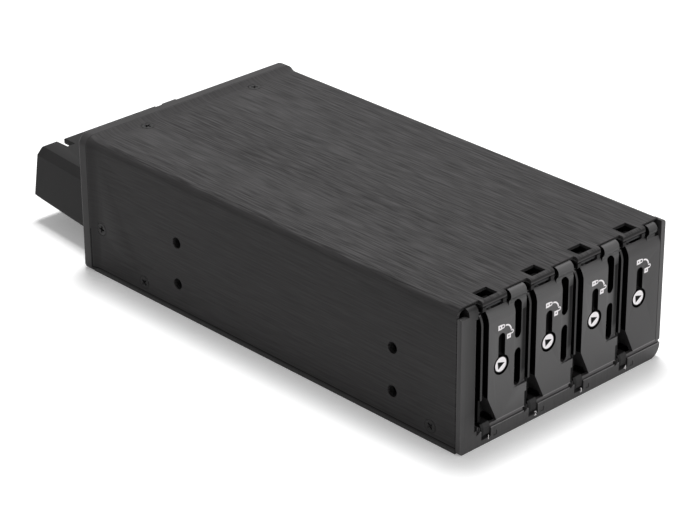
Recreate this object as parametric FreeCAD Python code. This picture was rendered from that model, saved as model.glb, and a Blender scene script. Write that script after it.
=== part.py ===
import FreeCAD, Part
import math
import os

from FreeCAD import Vector

# Hot swap drive cage with four upright bays for slim drive modules.
# Millimetres. X runs across the bays, Y from the front face to the rear, Z up.
# Inside this file y = 0 is the front face. The saved origin lies on the base face,
# halfway between the two pairs of side mounting holes.

# Overall sizes of the shell
shell_height = 38.6
front_face_depth = 1.6
cover_end = 137.0
rim_depth = 3.4

# Sheet thicknesses, seams and clearances
cover_wall = 0.8
base_wall = 1.0
flange_wall = 1.0
seam = 0.1
play = 0.3
running_gap = 0.05
root = 0.4
hair = 0.01
cover_bend_radius = 2.2

# Side mounting holes, the pattern of a standard drive bay
mount_hole_radius = 1.55
mount_front = 22.7
mount_pitch = 79.25
mount_low = 8.7
mount_rise = 11.84
flange_height = 25.0
flange_end_gap = 1.0

# Countersunk screws
screw_head_radius = 1.85
screw_head_depth = 0.8
screw_radius = 0.9
screw_length = 3.2
front_screw_y = 9.9
front_screw_z = 4.3
flange_screw_inset = 21.2
flange_screw_z = 4.1
rear_screw_inset = 4.1
rear_screw_z = 13.7
top_screw_x = 19.1
top_screw_inset = 4.15
top_screw_length = 2.6
cap_screw_height = 1.0
cap_screw_grip = 1.6

# Rear rim and panel
rim_proud = 0.8
rim_width = 2.2
rim_edge_radius = 0.9
rim_corner_radius = 3.0
rim_foot_radius = 1.5
flare_length = 3.4
flare_land = 0.4
panel_wall = 1.8
top_ledge_half = 4.0
top_ledge_reach = 3.2
top_ledge_wall = 1.8
vent_slot_width = 2.2
vent_slot_bottom = 24.6
vent_slot_below_top = 4.6
vent_slot_pitch = 5.0
vent_slot_count = 11

# Rear cowl around the sockets
cowl_reach = 33.0
cowl_wall = 1.6
cowl_top = 21.3
cowl_bottom = 5.7
cowl_half_top = 26.0
cowl_half_bottom = 27.6
cowl_flare = 2.8
cowl_drop = 1.2
cowl_edge_radius = 2.0
cowl_mouth_margin = 1.0
cowl_flange_wall = 1.2
cowl_flange_margin = 4.6
cowl_flange_corner = 1.5
cowl_screw_margin = 0.4
notch_width = 2.7
notch_depth = 1.8
notch_reach = 5.0
notch_x = 17.8

# Bays
bay_count = 4
bay_pitch = 16.5
left_margin = 9.3
right_margin = 0.1

# Lever, measured from the left edge of its front plate
plate_width = 13.5
plate_wall = 1.5
plate_bottom = 5.0
plate_below_pin = 1.2
plate_bow_rise = 3.3
plate_bow_radius = 4.6
rib_left = -2.1
rib_wall = 0.65
rib_setback = 0.5
rib_below_plate = 0.4
groove_depth = 1.8
groove_wall = 0.8
slope_start = 8.8
slope_depth = 0.7
slope_bottom = 11.6
pocket_top = 12.0
pocket_left = -2.0
pocket_setback = 1.3
pocket_slant = 3.3
pocket_depth = 4.4
pocket_wall = 0.8
pocket_bottom = 5.8
lever_vent_left = 9.0
lever_vent_width = 2.6
lever_vent_low = (11.8, 21.9)
lever_vent_high_bottom = 24.7
lever_vent_above_tray = 0.7
bays_with_vents = 3

# Hinge of the lever
pin_y = 1.5
pin_below_top = 2.5
pin_radius = 0.5
knuckle_radius = 1.5
knuckle_rise = 0.45
knuckle_left = 7.4
knuckle_right = 12.7
knuckle_fillet = 1.5
ear_radius = 0.95
ear_width = 1.2
ear_left = -1.7
ear_right = 5.2
claw_left = 0.3
claw_right = 3.3
claw_below_top = 1.6
claw_front = 1.6
claw_step = 3.2
claw_inner = 3.5
claw_barb = 3.1
claw_tip_back = 4.2
claw_outer = 4.8
claw_wall = 1.3
claw_drop = 0.7

# Lip of the cover in front of each window
lip_left = -2.2
lip_right = 6.0
lip_height = 1.3
lip_front = 0.1
window_left = -0.7
window_right = 4.1
window_front = 1.3
window_rear = 5.2

# Lock core in the lever
lock_u = 4.5
lock_z = 19.6
lock_disc_radius = 2.05
lock_ring_radius = 2.6
lock_ring_depth = 0.9
lock_disc_setback = 0.15
lock_boss_wall = 0.8
lock_boss_end = 6.6
lock_spindle_width = 2.0
cam_length = 7.0
cam_width = 2.6
cam_wall = 1.0
key_slot_width = 2.3
key_slot_top = 28.05
key_slot_depth = 1.0

# Catch under the finger pocket
catch_left = -1.8
catch_right = 1.3
catch_bottom = 2.9
catch_top = 5.4
catch_front = 0.3
catch_back = 3.4
catch_wall = 0.5
catch_floor = 1.4
catch_roof = 1.2
catch_nose_drop = 1.0
catch_nose_run = 0.5
catch_heel = 0.6
spring_wall = 0.2
spring_width = 1.2

# Front bezel
bezel_wall = 1.4
strip_width = 5.6
strip_edge_radius = 1.1
strip_rise = 0.1
strip_knuckle_width = 3.0
sill_top = 4.7
sill_step = 3.85
sill_setback = 0.5
sill_corner_radius = 3.4
strip_corner_radius = 1.0
sill_gap_slant = 0.6
sill_end_gap = 0.2
sill_gap_left = -3.6
sill_gap_right = -2.0
sill_gap_bottom = 3.3
bezel_tab_wall = 1.0
bezel_tab_end = 13.0
bezel_tab_top = 8.0

# Tray that carries one module
tray_left = -1.2
tray_right = 10.6
tray_wall = 1.0
tray_bottom = 7.0
tray_below_pin = 2.1
tray_front = 7.0
tray_front_wall = 1.2
tray_to_socket = 0.5
tongue_left = 3.7
tongue_width = 2.0
tongue_start = 12.0
tongue_short = 0.5
upper_tongue_height = 2.0
lower_tongue_height = 1.8
module_board = 0.8
module_u = 2.2
post_radius = 2.1
post_y = 13.0
tray_window_count = 3
tray_window_margin = 5.0
tray_window_share = 0.6
ear_cut = 1.0
ear_gusset = 0.8

# Heat plate that closes the tray
heat_plate_wall = 1.0
heat_plate_start = 14.0
heat_plate_short = 3.5
heat_fin_height = 1.8
heat_fin_wall = 0.8
heat_fin_count = 7
pad_wall = 1.0
pad_width = 18.0
pad_length = 80.0
pad_inset = 6.0

# Guides above and below the trays
guide_start = 9.0
guide_to_board = 2.7
guide_side_gap = 1.3
guide_rib_wall = 0.8
guide_rib_gap = 0.2
guide_deck_wall = 0.7

# Light pipes of square section
pipe_half = 0.55
pipe_u = 2.9
pipe_z = 1.75

# Board and sockets
board_inset = 12.3
board_wall = 1.6
board_side_gap = 1.1
board_below_top = 2.0
edge_socket_depth = 8.7
edge_socket_wall = 4.4
edge_socket_inset = 1.7
edge_slot_width = 0.9
edge_slot_depth = 5.0
edge_slot_inset = 1.7
data_socket_width = 11.4
data_socket_height = 5.2
data_socket_pitch = 12.8
data_socket_z = 16.2
power_socket_width = 22.4
power_socket_height = 5.4
power_socket_z = 9.2
socket_short = 0.4
socket_wall = 0.9
socket_mouth_depth = 6.0
socket_tongue_short = 1.2
socket_tongue_half = 0.4
board_floor_gap = 0.15
board_boss_from_edge = 2.2
board_boss_low = 6.0
board_boss_below_top = 5.4
board_boss_half = 2.0
board_slot_width = 4.4

# Values worked out from the sizes above
shell_width = left_margin + bay_pitch * (bay_count - 1) + plate_width + right_margin
half_width = shell_width / 2
first_plate_left = -half_width + left_margin
rear_face = cover_end + rim_depth
pin_z = shell_height - pin_below_top
knuckle_y = knuckle_radius
knuckle_z = pin_z + knuckle_rise
plate_top = pin_z - plate_below_pin
plate_bow_start = plate_top - plate_bow_rise
lip_bottom = shell_height - lip_height
claw_tip_z = shell_height - claw_below_top
strip_right = -half_width + strip_width
strip_top = pin_z + strip_rise
tray_top = pin_z - tray_below_pin
module_z = (tray_bottom + tray_top) / 2
edge_socket_height = tray_top - tray_bottom - 2 * edge_socket_inset
edge_slot_height = edge_socket_height - 2 * edge_slot_inset
vent_slot_top = shell_height - vent_slot_below_top
board_front = cover_end - board_inset
board_top = shell_height - board_below_top
tray_end = board_front - edge_socket_depth - tray_to_socket
heat_plate_end = tray_end - heat_plate_short
guide_end = board_front - guide_to_board
socket_end = rear_face - socket_short
top_screw_y = cover_end - top_screw_inset
cover_inside = half_width - cover_wall
flange_outside = cover_inside - seam
flange_inside = flange_outside - flange_wall
guide_half_width = flange_inside - guide_side_gap
board_half_width = flange_inside - board_side_gap
board_boss_x = board_half_width - board_boss_from_edge
rim_front = cover_end + seam
board_rear = board_front + board_wall
panel_front = rear_face - panel_wall
datum_behind_front = mount_front + mount_pitch / 2
cam_front = tray_front + tray_front_wall + play


def box(x0, x1, y0, y1, z0, z1):
    return Part.makeBox(x1 - x0, y1 - y0, z1 - z0, Vector(x0, y0, z0))


def rod(start, axis, length, radius):
    return Part.makeCylinder(radius, length, Vector(*start), Vector(*axis))


def cone(start, axis, length, radius_start, radius_end):
    return Part.makeCone(radius_start, radius_end, length, Vector(*start), Vector(*axis))


def outline(*legs):
    """Closed wire through points; a pair of points is an arc through its first to its second."""
    edges = []
    first = legs[0]
    here = first
    for leg in legs[1:] + (first,):
        if isinstance(leg, tuple):
            edges.append(Part.Arc(here, leg[0], leg[1]).toShape())
            here = leg[1]
        elif here.distanceToPoint(leg) > 1e-6:
            edges.append(Part.LineSegment(here, leg).toShape())
            here = leg
    return Part.Wire(edges)


def slab_along_x(x0, x1, *legs):
    """Solid with an outline of (y, z) points, from x0 to x1."""
    return Part.Face(outline(*[on_side(leg, x0) for leg in legs])).extrude(Vector(x1 - x0, 0, 0))


def on_side(leg, x):
    if isinstance(leg[0], tuple):
        return tuple(Vector(x, y, z) for y, z in leg)
    return Vector(x, leg[0], leg[1])


def slab_along_y(y0, y1, *legs):
    """Solid with an outline of (x, z) points, from y0 to y1."""
    return Part.Face(outline(*[on_front(leg, y0) for leg in legs])).extrude(Vector(0, y1 - y0, 0))


def on_front(leg, y):
    if isinstance(leg[0], tuple):
        return tuple(Vector(x, y, z) for x, z in leg)
    return Vector(leg[0], y, leg[1])


def slab_along_z(z0, z1, *points):
    """Solid with an outline of (x, y) points, from z0 to z1."""
    return Part.Face(outline(*[Vector(x, y, z0) for x, y in points])).extrude(Vector(0, 0, z1 - z0))


def corner(cx, cz, radius, start, end):
    """Arc leg about (cx, cz), from one angle in degrees to another."""
    middle = math.radians((start + end) / 2)
    last = math.radians(end)
    mid_point = (cx + radius * math.cos(middle), cz + radius * math.sin(middle))
    end_point = (cx + radius * math.cos(last), cz + radius * math.sin(last))
    return (mid_point, end_point)


def arch(half, top, bottom, radius, y0, y1):
    """Block with round upper corners."""
    return slab_along_y(
        y0, y1,
        (-half, bottom),
        (-half, top - radius),
        corner(-half + radius, top - radius, radius, 180, 90),
        (half - radius, top),
        corner(half - radius, top - radius, radius, 90, 0),
        (half, bottom),
    )


def stadium(x_mid, width, z_low, z_high, y0, y1):
    """Upright slot with round ends."""
    radius = width / 2
    return slab_along_y(
        y0, y1,
        (x_mid - radius, z_low + radius),
        (x_mid - radius, z_high - radius),
        corner(x_mid, z_high - radius, radius, 180, 0),
        (x_mid + radius, z_low + radius),
        corner(x_mid, z_low + radius, radius, 0, -180),
    )


def fillet_where(shape, radius, wanted):
    edges = [edge for edge in shape.Edges if wanted(edge)]
    return shape.makeFillet(radius, edges)


def is_upright(edge, x, y):
    """True for a straight edge along Z at this x and y."""
    ends = [vertex.Point for vertex in edge.Vertexes]
    return len(ends) == 2 and all(abs(p.x - x) < hair and abs(p.y - y) < hair for p in ends)


def joined(shapes):
    shape = shapes[0]
    if len(shapes) > 1:
        shape = shape.fuse(shapes[1:])
    return shape.removeSplitter()


def save(name, *solids):
    shape = solids[0] if len(solids) == 1 else Part.makeCompound(list(solids))
    placed = shape.copy()
    placed.translate(Vector(0, -datum_behind_front, 0))
    placed.exportStep(os.path.join("parts", name + ".step"))


def plate_left(bay):
    return first_plate_left + bay_pitch * bay


def side_places():
    places = [
        (front_screw_y, front_screw_z),
        (cover_end - flange_screw_inset, flange_screw_z),
        (cover_end - rear_screw_inset, rear_screw_z),
    ]
    return [(side, y, z) for side in (-1, 1) for y, z in places]


def mount_places():
    rows = (mount_low, mount_low + mount_rise)
    columns = (mount_front, mount_front + mount_pitch)
    return [(side, y, z) for side in (-1, 1) for y in columns for z in rows]


def screw(point, inward, length=screw_length):
    """Countersunk screw whose head is flush at point."""
    head = cone(point, inward, screw_head_depth, screw_head_radius, screw_radius)
    shank = rod(point, inward, length, screw_radius)
    return joined([head, shank])


def screw_seat(point, inward, length=screw_length + play):
    """Room for a countersunk screw, with a small gap all round."""
    outward = Vector(*inward).multiply(-1)
    start = Vector(*point) + outward * running_gap
    head = cone(start, inward, screw_head_depth + 2 * running_gap,
                screw_head_radius + 2 * running_gap, screw_radius + running_gap)
    shank = rod(start, inward, length, screw_radius + running_gap)
    return head.fuse(shank)


def mounting_holes():
    through = half_width + 1 - (flange_inside - 1)
    return [rod((side * (half_width + 1), y, z), (-side, 0, 0), through, mount_hole_radius)
            for side, y, z in mount_places()]


def side_screw_seats():
    return [screw_seat((side * half_width, y, z), (-side, 0, 0)) for side, y, z in side_places()]


# Cover


def cover_flare():
    """Concave swelling that leads the cover's sheet up to the rear rim."""
    bottom = base_wall + seam
    straight = shell_height - cover_bend_radius
    bend = half_width - cover_bend_radius

    def at(x, z):
        return Vector(x, cover_end, z)

    def turned(side, angle):
        return at(side * (bend + cover_bend_radius * math.cos(angle)),
                  straight + cover_bend_radius * math.sin(angle))

    path = Part.Wire([
        Part.LineSegment(at(-half_width, bottom), at(-half_width, straight)).toShape(),
        Part.Arc(at(-half_width, straight), turned(-1, math.pi / 4), at(-bend, shell_height)).toShape(),
        Part.LineSegment(at(-bend, shell_height), at(bend, shell_height)).toShape(),
        Part.Arc(at(bend, shell_height), turned(1, math.pi / 4), at(half_width, straight)).toShape(),
        Part.LineSegment(at(half_width, straight), at(half_width, bottom)).toShape(),
    ])
    start = cover_end - flare_length
    top_of_arc = cover_end - flare_land
    rise_run = top_of_arc - start
    radius = (rise_run ** 2 + rim_proud ** 2) / (2 * rim_proud)
    half_angle = math.asin(rise_run / radius) / 2
    buried = half_width - cover_wall / 2
    swell = radius * (1 - math.cos(half_angle))
    middle = Vector(-half_width - swell, start + radius * math.sin(half_angle), bottom)
    profile = outline(
        Vector(-buried, start, bottom),
        Vector(-half_width, start, bottom),
        (middle, Vector(-half_width - rim_proud, top_of_arc, bottom)),
        Vector(-half_width - rim_proud, cover_end, bottom),
        Vector(-buried, cover_end, bottom),
    )
    sweep = Part.BRepOffsetAPI.MakePipeShell(path)
    sweep.setFrenetMode(True)
    sweep.add(profile)
    sweep.build()
    sweep.makeSolid()
    return sweep.shape()


def cover_lip(left):
    """Rolled edge of the sheet in front of one window, seen from the front as a slim bar."""
    x0 = left + lip_left
    x1 = left + lip_right
    radius = cover_wall
    return slab_along_x(
        x0, x1,
        (window_front, shell_height),
        (lip_front + radius, shell_height),
        corner(lip_front + radius, shell_height - radius, radius, 90, 180),
        (lip_front, lip_bottom),
        (lip_front + cover_wall, lip_bottom),
        (lip_front + cover_wall, shell_height - cover_wall),
        (front_face_depth + 1, shell_height - cover_wall),
        (front_face_depth + 1, shell_height),
    )


def cover_window(left):
    return box(left + window_left, left + window_right, window_front, window_rear,
               shell_height - 2 * cover_wall, shell_height + 1)


def knuckle_spans():
    """Left and right ends of the fixed knuckle on the strip and of each lever's knuckle."""
    spans = [(strip_right - strip_knuckle_width, strip_right)]
    for bay in range(bay_count):
        spans.append((plate_left(bay) + knuckle_left, plate_left(bay) + knuckle_right))
    return spans


def knuckle_scoop(left, right):
    """Room under the cover's front edge for one knuckle and the way it turns about the pin."""
    reach = math.hypot(knuckle_y - pin_y, knuckle_rise) + knuckle_radius
    return rod((left - play, pin_y, pin_z), (1, 0, 0), right - left + 2 * play, reach + seam)


def lever_notch():
    """Cut in the right wall's front edge that clears the bowed end of the last lever."""
    return box(cover_inside - seam, half_width + 1, front_face_depth - 1, knuckle_y + plate_wall + play,
               plate_bow_start - play, knuckle_z)


def make_top_cover():
    bottom = base_wall + seam
    outer = arch(half_width, shell_height, bottom, cover_bend_radius, front_face_depth, cover_end)
    inner = arch(cover_inside, shell_height - cover_wall, bottom - 1, cover_bend_radius - cover_wall,
                 front_face_depth - 1, cover_end + 1)
    sheet = outer.cut(inner)
    lips = [cover_lip(plate_left(bay)) for bay in range(bay_count)]
    cover = joined([sheet, cover_flare()] + lips)
    windows = [cover_window(plate_left(bay)) for bay in range(bay_count)]
    scoops = [knuckle_scoop(left, right) for left, right in knuckle_spans()]
    top_seats = [screw_seat((side * top_screw_x, top_screw_y, shell_height), (0, 0, -1)) for side in (-1, 1)]
    return cover.cut(windows + scoops + [lever_notch()] + mounting_holes() + side_screw_seats() + top_seats)


# Base


def make_base():
    plate = box(-half_width, half_width, front_face_depth, cover_end, 0, base_wall)
    flanges = []
    for side in (-1, 1):
        x0, x1 = sorted((side * flange_inside, side * flange_outside))
        flange = box(x0, x1, front_face_depth + seam, cover_end - flange_end_gap, base_wall, flange_height)
        flanges.append(flange)
    return joined([plate] + flanges).cut(mounting_holes() + side_screw_seats())


# Rear panel with its rim


def make_rear_panel():
    half = half_width + rim_proud
    top = shell_height + rim_proud
    radius = rim_corner_radius
    foot = rim_foot_radius

    def filled(inset, y0, y1):
        h = half - inset
        t = top - inset
        r = max(radius - inset, root)
        f = max(foot - inset, root)
        low = inset
        return slab_along_y(
            y0, y1,
            (-h, low + f),
            (-h, t - r),
            corner(-h + r, t - r, r, 180, 90),
            (h - r, t),
            corner(h - r, t - r, r, 90, 0),
            (h, low + f),
            corner(h - f, low + f, f, 0, -90),
            (-h + f, low),
            corner(-h + f, low + f, f, 270, 180),
        )

    panel = filled(0, rim_front, rear_face)
    panel = fillet_where(panel, rim_edge_radius, lambda edge: abs(edge.CenterOfMass.y - rear_face) < hair)
    panel = panel.cut(filled(rim_proud + rim_width, rim_front - 1, panel_front))
    bosses = []
    for side in (-1, 1):
        for z in (board_boss_low, shell_height - board_boss_below_top):
            x = side * board_boss_x
            bosses.append(box(x - board_boss_half, x + board_boss_half, board_rear, panel_front + root,
                              z - board_boss_half, z + board_boss_half))
    ledges = []
    for side in (-1, 1):
        x = side * top_screw_x
        under = shell_height - cover_wall - seam
        ledges.append(box(x - top_ledge_half, x + top_ledge_half, top_screw_y - top_ledge_reach,
                          panel_front + root, under - top_ledge_wall, under))
    panel = joined([panel] + bosses + ledges)
    cuts = []
    first = -vent_slot_pitch * (vent_slot_count - 1) / 2
    for index in range(vent_slot_count):
        x = first + vent_slot_pitch * index
        cuts.append(box(x - vent_slot_width / 2, x + vent_slot_width / 2, panel_front - 1, rear_face + 1,
                        vent_slot_bottom, vent_slot_top))
    cuts.append(box(-cowl_mouth_half(), cowl_mouth_half(), panel_front - 1, rear_face + 1,
                    cowl_bottom - cowl_drop + cowl_wall, cowl_top - cowl_wall))
    cuts += [screw_seat((side * top_screw_x, top_screw_y, shell_height), (0, 0, -1)) for side in (-1, 1)]
    return panel.cut(cuts + cowl_screw_holes())


# Rear cowl


def cowl_mouth_half():
    return cowl_half_top + cowl_flare - cowl_wall - cowl_mouth_margin


def cowl_screw_places():
    x = cowl_half_bottom + cowl_flare + screw_head_radius + cowl_screw_margin
    return [(side * x, (cowl_bottom + cowl_top) / 2) for side in (-1, 1)]


def cowl_screw_holes():
    start = panel_front - 1
    through = rear_face + cowl_flange_wall + 1 - start
    return [rod((x, start, z), (0, 1, 0), through, screw_radius + running_gap)
            for x, z in cowl_screw_places()]


def cowl_section(y, inset):
    """Rounded trapezoid wire, wider and lower towards the panel."""
    share = (rear_face + cowl_reach - y) / cowl_reach
    top = cowl_top - inset
    low = cowl_bottom - cowl_drop * share + inset
    half_top = cowl_half_top + cowl_flare * share - inset
    half_low = cowl_half_bottom + cowl_flare * share - inset
    r = max(cowl_edge_radius - inset, root)
    return Part.makePolygon([
        Vector(-half_low + r, y, low),
        Vector(-half_low, y, low + r),
        Vector(-half_top, y, top - r),
        Vector(-half_top + r, y, top),
        Vector(half_top - r, y, top),
        Vector(half_top, y, top - r),
        Vector(half_low, y, low + r),
        Vector(half_low - r, y, low),
        Vector(-half_low + r, y, low),
    ])


def make_rear_cowl():
    tip = rear_face + cowl_reach
    outer = Part.makeLoft([cowl_section(rear_face, 0), cowl_section(tip, 0)], True, True)
    ends = [cowl_section(rear_face - 1, cowl_wall), cowl_section(tip + 1, cowl_wall)]
    inner = Part.makeLoft(ends, True, True)
    lowest = cowl_bottom - cowl_drop - cowl_flange_wall
    highest = cowl_top + cowl_flange_wall
    half = cowl_half_bottom + cowl_flare + cowl_flange_margin
    flange = arch(half, highest, lowest, cowl_flange_corner, rear_face, rear_face + cowl_flange_wall)
    cowl = outer.fuse(flange).removeSplitter()
    cuts = [inner]
    for side in (-1, 1):
        x = side * notch_x
        cuts.append(box(x - notch_width / 2, x + notch_width / 2, tip - notch_reach, tip + 1,
                        cowl_top - notch_depth, cowl_top + 1))
    return cowl.cut(cuts + cowl_screw_holes())


# Front bezel


def make_bezel():
    right = half_width
    radius = sill_corner_radius
    foot = strip_corner_radius
    frame = slab_along_y(
        0, bezel_wall,
        (-half_width, foot),
        (-half_width, strip_top),
        (strip_right, strip_top),
        (strip_right, sill_top),
        (right, sill_top),
        (right, radius),
        corner(right - radius, radius, radius, 0, -90),
        (-half_width + foot, 0),
        corner(-half_width + foot, foot, foot, 270, 180),
    )
    frame = fillet_where(frame, strip_edge_radius, lambda edge: is_upright(edge, strip_right, 0))
    knuckle_start = strip_right - strip_knuckle_width
    knuckle = rod((knuckle_start, knuckle_y, knuckle_z), (1, 0, 0), strip_knuckle_width, knuckle_radius)
    neck = box(knuckle_start, strip_right, 0, bezel_wall, strip_top - knuckle_radius, knuckle_z)
    tab_out = -flange_inside + seam
    tab = box(tab_out, tab_out + bezel_tab_wall, bezel_wall - root, bezel_tab_end, base_wall + seam,
              bezel_tab_top)
    step = box(strip_right + sill_end_gap, right + 1, -1, sill_setback, sill_step, sill_top + 1)
    cuts = [step]
    behind = []
    for bay in range(bay_count):
        left = plate_left(bay)
        cuts.append(slab_along_y(
            -1, bezel_wall + 1,
            (left + sill_gap_left, sill_gap_bottom),
            (left + sill_gap_left, sill_top + 1),
            (left + sill_gap_right, sill_top + 1),
            (left + sill_gap_right, sill_gap_bottom + sill_gap_slant),
        ))
        cuts.append(box(left + catch_left - seam, left + catch_right + seam, -1, bezel_wall + 1,
                        catch_floor, sill_top + 1))
        cuts.append(pipe_bar(left, -1, bezel_wall + 1, running_gap))
        behind.append(catch_cradle(left))
    side_seat = screw_seat((-half_width, front_screw_y, front_screw_z), (1, 0, 0))
    return joined([joined([frame, neck, knuckle, tab]).cut(cuts + [side_seat])] + behind)


def catch_cradle(left):
    """Small box behind the sill that guides one catch."""
    x0 = left + catch_left - seam
    x1 = left + catch_right + seam
    y1 = catch_back + seam
    wall = catch_wall
    outer = box(x0 - wall, x1 + wall, bezel_wall - root, y1 + wall, base_wall + seam, sill_top)
    inner = box(x0, x1, bezel_wall - 1, y1, catch_floor, sill_top + 1)
    return outer.cut(inner)


# Catch and its spring


def make_catch(left):
    x0 = left + catch_left
    x1 = left + catch_right
    body = slab_along_x(
        x0, x1,
        (catch_front, catch_bottom),
        (catch_front, catch_top - catch_nose_drop),
        (catch_front + catch_nose_run, catch_top),
        (catch_back - catch_heel, catch_top),
        (catch_back, catch_top - catch_heel),
        (catch_back, catch_bottom),
    )
    hollow = box(x0 + catch_wall, x1 - catch_wall, catch_front + catch_wall, catch_back - catch_wall,
                 catch_bottom - 1, catch_top - catch_roof)
    return body.cut(hollow)


def make_catch_spring(left):
    """Bent leaf between the cradle floor and the roof of the catch."""
    x_mid = left + (catch_left + catch_right) / 2
    half = spring_width / 2
    low = catch_floor
    high = catch_top - catch_roof
    y0 = catch_front + catch_wall + play
    y1 = catch_back - catch_wall - play
    y_mid = (y0 + y1) / 2
    crown = spring_width / 4
    return slab_along_x(
        x_mid - half, x_mid + half,
        (y0, low),
        (y0 + spring_wall, low),
        (y_mid, high - spring_wall),
        (y1 - spring_wall, low),
        (y1, low),
        (y_mid + crown, high),
        (y_mid - crown, high),
    )


# Lever


def plate_profile():
    """Side view of the front plate: upright, then bowed back towards the hinge."""
    centre_y = plate_bow_radius
    reach = plate_bow_rise
    angle = math.asin(reach / plate_bow_radius)
    inner_radius = plate_bow_radius - plate_wall

    def on_bow(radius, turn):
        return (centre_y - radius * math.cos(turn), plate_bow_start + radius * math.sin(turn))

    return [
        (0, plate_bottom),
        (0, plate_bow_start),
        (on_bow(plate_bow_radius, angle / 2), on_bow(plate_bow_radius, angle)),
        on_bow(inner_radius, angle),
        (on_bow(inner_radius, angle / 2), (plate_wall, plate_bow_start)),
        (plate_wall, plate_bottom),
    ]


def shifted_profile(setback, wall):
    """The plate's side view moved back, with another wall, from the pocket up."""
    centre_y = plate_bow_radius + setback
    reach = plate_top - rib_below_plate - plate_bow_start
    angle = math.asin(reach / plate_bow_radius)
    inner_radius = plate_bow_radius - wall

    def on_bow(radius, turn):
        return (centre_y - radius * math.cos(turn), plate_bow_start + radius * math.sin(turn))

    return [
        (setback, pocket_top),
        (setback, plate_bow_start),
        (on_bow(plate_bow_radius, angle / 2), on_bow(plate_bow_radius, angle)),
        on_bow(inner_radius, angle),
        (on_bow(inner_radius, angle / 2), (setback + wall, plate_bow_start)),
        (setback + wall, pocket_top),
    ]


def edge_rib(left):
    """Slim rib left of the plate, joined to it behind a deep groove."""
    rear = groove_depth + groove_wall
    whole = shifted_profile(rib_setback, rear - rib_setback)
    deep = shifted_profile(groove_depth, groove_wall)
    behind = shifted_profile(plate_wall - seam, rear - plate_wall + seam)
    rib = slab_along_x(left + rib_left, left + rib_left + rib_wall, *whole)
    floor = slab_along_x(left + rib_left, left + groove_wall, *deep)
    side = slab_along_x(left, left + groove_wall, *behind)
    return [rib, floor, side]


def knuckle_neck(left):
    """Hollow curve that runs from the bowed plate into the knuckle."""
    bow_y = plate_bow_radius
    gap_y = bow_y - knuckle_y
    gap_z = plate_bow_start - knuckle_z
    apart = math.hypot(gap_y, gap_z)
    to_knuckle = knuckle_radius + knuckle_fillet
    to_bow = plate_bow_radius + knuckle_fillet
    along = (to_knuckle ** 2 - to_bow ** 2 + apart ** 2) / (2 * apart)
    across = math.sqrt(to_knuckle ** 2 - along ** 2)
    centre_y = knuckle_y + (along * gap_y + across * gap_z) / apart
    centre_z = knuckle_z + (along * gap_z - across * gap_y) / apart

    def towards(y, z, distance):
        span = math.hypot(y - centre_y, z - centre_z)
        return (centre_y + (y - centre_y) * distance / span, centre_z + (z - centre_z) * distance / span)

    upper = towards(knuckle_y, knuckle_z, knuckle_fillet)
    lower = towards(bow_y, plate_bow_start, knuckle_fillet)
    middle = towards((upper[0] + lower[0]) / 2, (upper[1] + lower[1]) / 2, knuckle_fillet)
    return slab_along_x(
        left + knuckle_left, left + plate_width,
        lower,
        (middle, upper),
        (knuckle_y, upper[1] + root),
        (knuckle_y + plate_wall, lower[1] - root),
    )


def right_slope(left):
    """Shallow slope that takes the plate's right side back beside the vents."""
    end = left + plate_width + hair
    return slab_along_z(
        slope_bottom, plate_top,
        (left + slope_start, 0),
        (end, slope_depth),
        (end, -1),
        (left + slope_start, -1),
    )


def finger_pocket(left):
    """Scoop behind the cut corner of the plate, where a fingertip pulls the lever."""
    top = pocket_top + pocket_wall
    outer = slab_along_y(
        pocket_setback, pocket_depth + pocket_wall,
        (left + pocket_left, pocket_bottom),
        (left + pocket_left, top),
        (left + pocket_wall, top),
        (left + pocket_slant + 2 * pocket_wall, pocket_bottom),
    )
    inner = slab_along_y(
        pocket_setback - 1, pocket_depth,
        (left + pocket_left + pocket_wall, pocket_bottom - 1),
        (left + pocket_left + pocket_wall, pocket_top),
        (left, pocket_top),
        (left + pocket_slant + pocket_wall / 2, pocket_bottom - 1),
    )
    return outer.cut(inner)


def make_lever(left, has_vents):
    x0 = left
    x1 = left + plate_width
    plate = slab_along_x(x0, x1, *plate_profile())
    corner_cut = slab_along_y(
        -1, plate_wall + hair,
        (left - 1, pocket_top),
        (left, pocket_top),
        (left + pocket_slant, plate_bottom),
        (left + pocket_slant, plate_bottom - 1),
        (left - 1, plate_bottom - 1),
    )
    plate = plate.cut([corner_cut, right_slope(left)] if has_vents else corner_cut)
    knuckle = rod((left + knuckle_left, knuckle_y, knuckle_z), (1, 0, 0), knuckle_right - knuckle_left,
                  knuckle_radius)
    boss = lock_boss(left + lock_u)
    pieces = [plate, finger_pocket(left), knuckle_neck(left), knuckle, boss, make_claw(left)]
    lever = joined(pieces + edge_rib(left))
    cuts = [
        rod((left + knuckle_left - 1, pin_y, pin_z), (1, 0, 0), knuckle_right - knuckle_left + 2,
            pin_radius + running_gap),
        rod((left + lock_u, -1, lock_z), (0, 1, 0), lock_ring_depth + 1, lock_ring_radius),
        rod((left + lock_u, -1, lock_z), (0, 1, 0), lock_boss_end + 2, lock_disc_radius + running_gap),
        stadium(left + lock_u, key_slot_width, lock_z, key_slot_top, -1, key_slot_depth),
    ]
    if has_vents:
        middle = left + lever_vent_left + lever_vent_width / 2
        for low, high in (lever_vent_low, (lever_vent_high_bottom, tray_top + lever_vent_above_tray)):
            cuts.append(stadium(middle, lever_vent_width, low, high, -1, 2 * plate_wall))
    return lever.cut(cuts)


def lock_boss(x):
    """Six-sided boss behind the plate that the lock core turns in."""
    flat = lock_disc_radius + running_gap + lock_boss_wall
    reach = flat / math.cos(math.radians(30))
    points = [(x + reach * math.cos(math.radians(60 * k)), lock_z + reach * math.sin(math.radians(60 * k)))
              for k in range(6)]
    return slab_along_y(plate_wall - root, lock_boss_end, *points)


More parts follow.
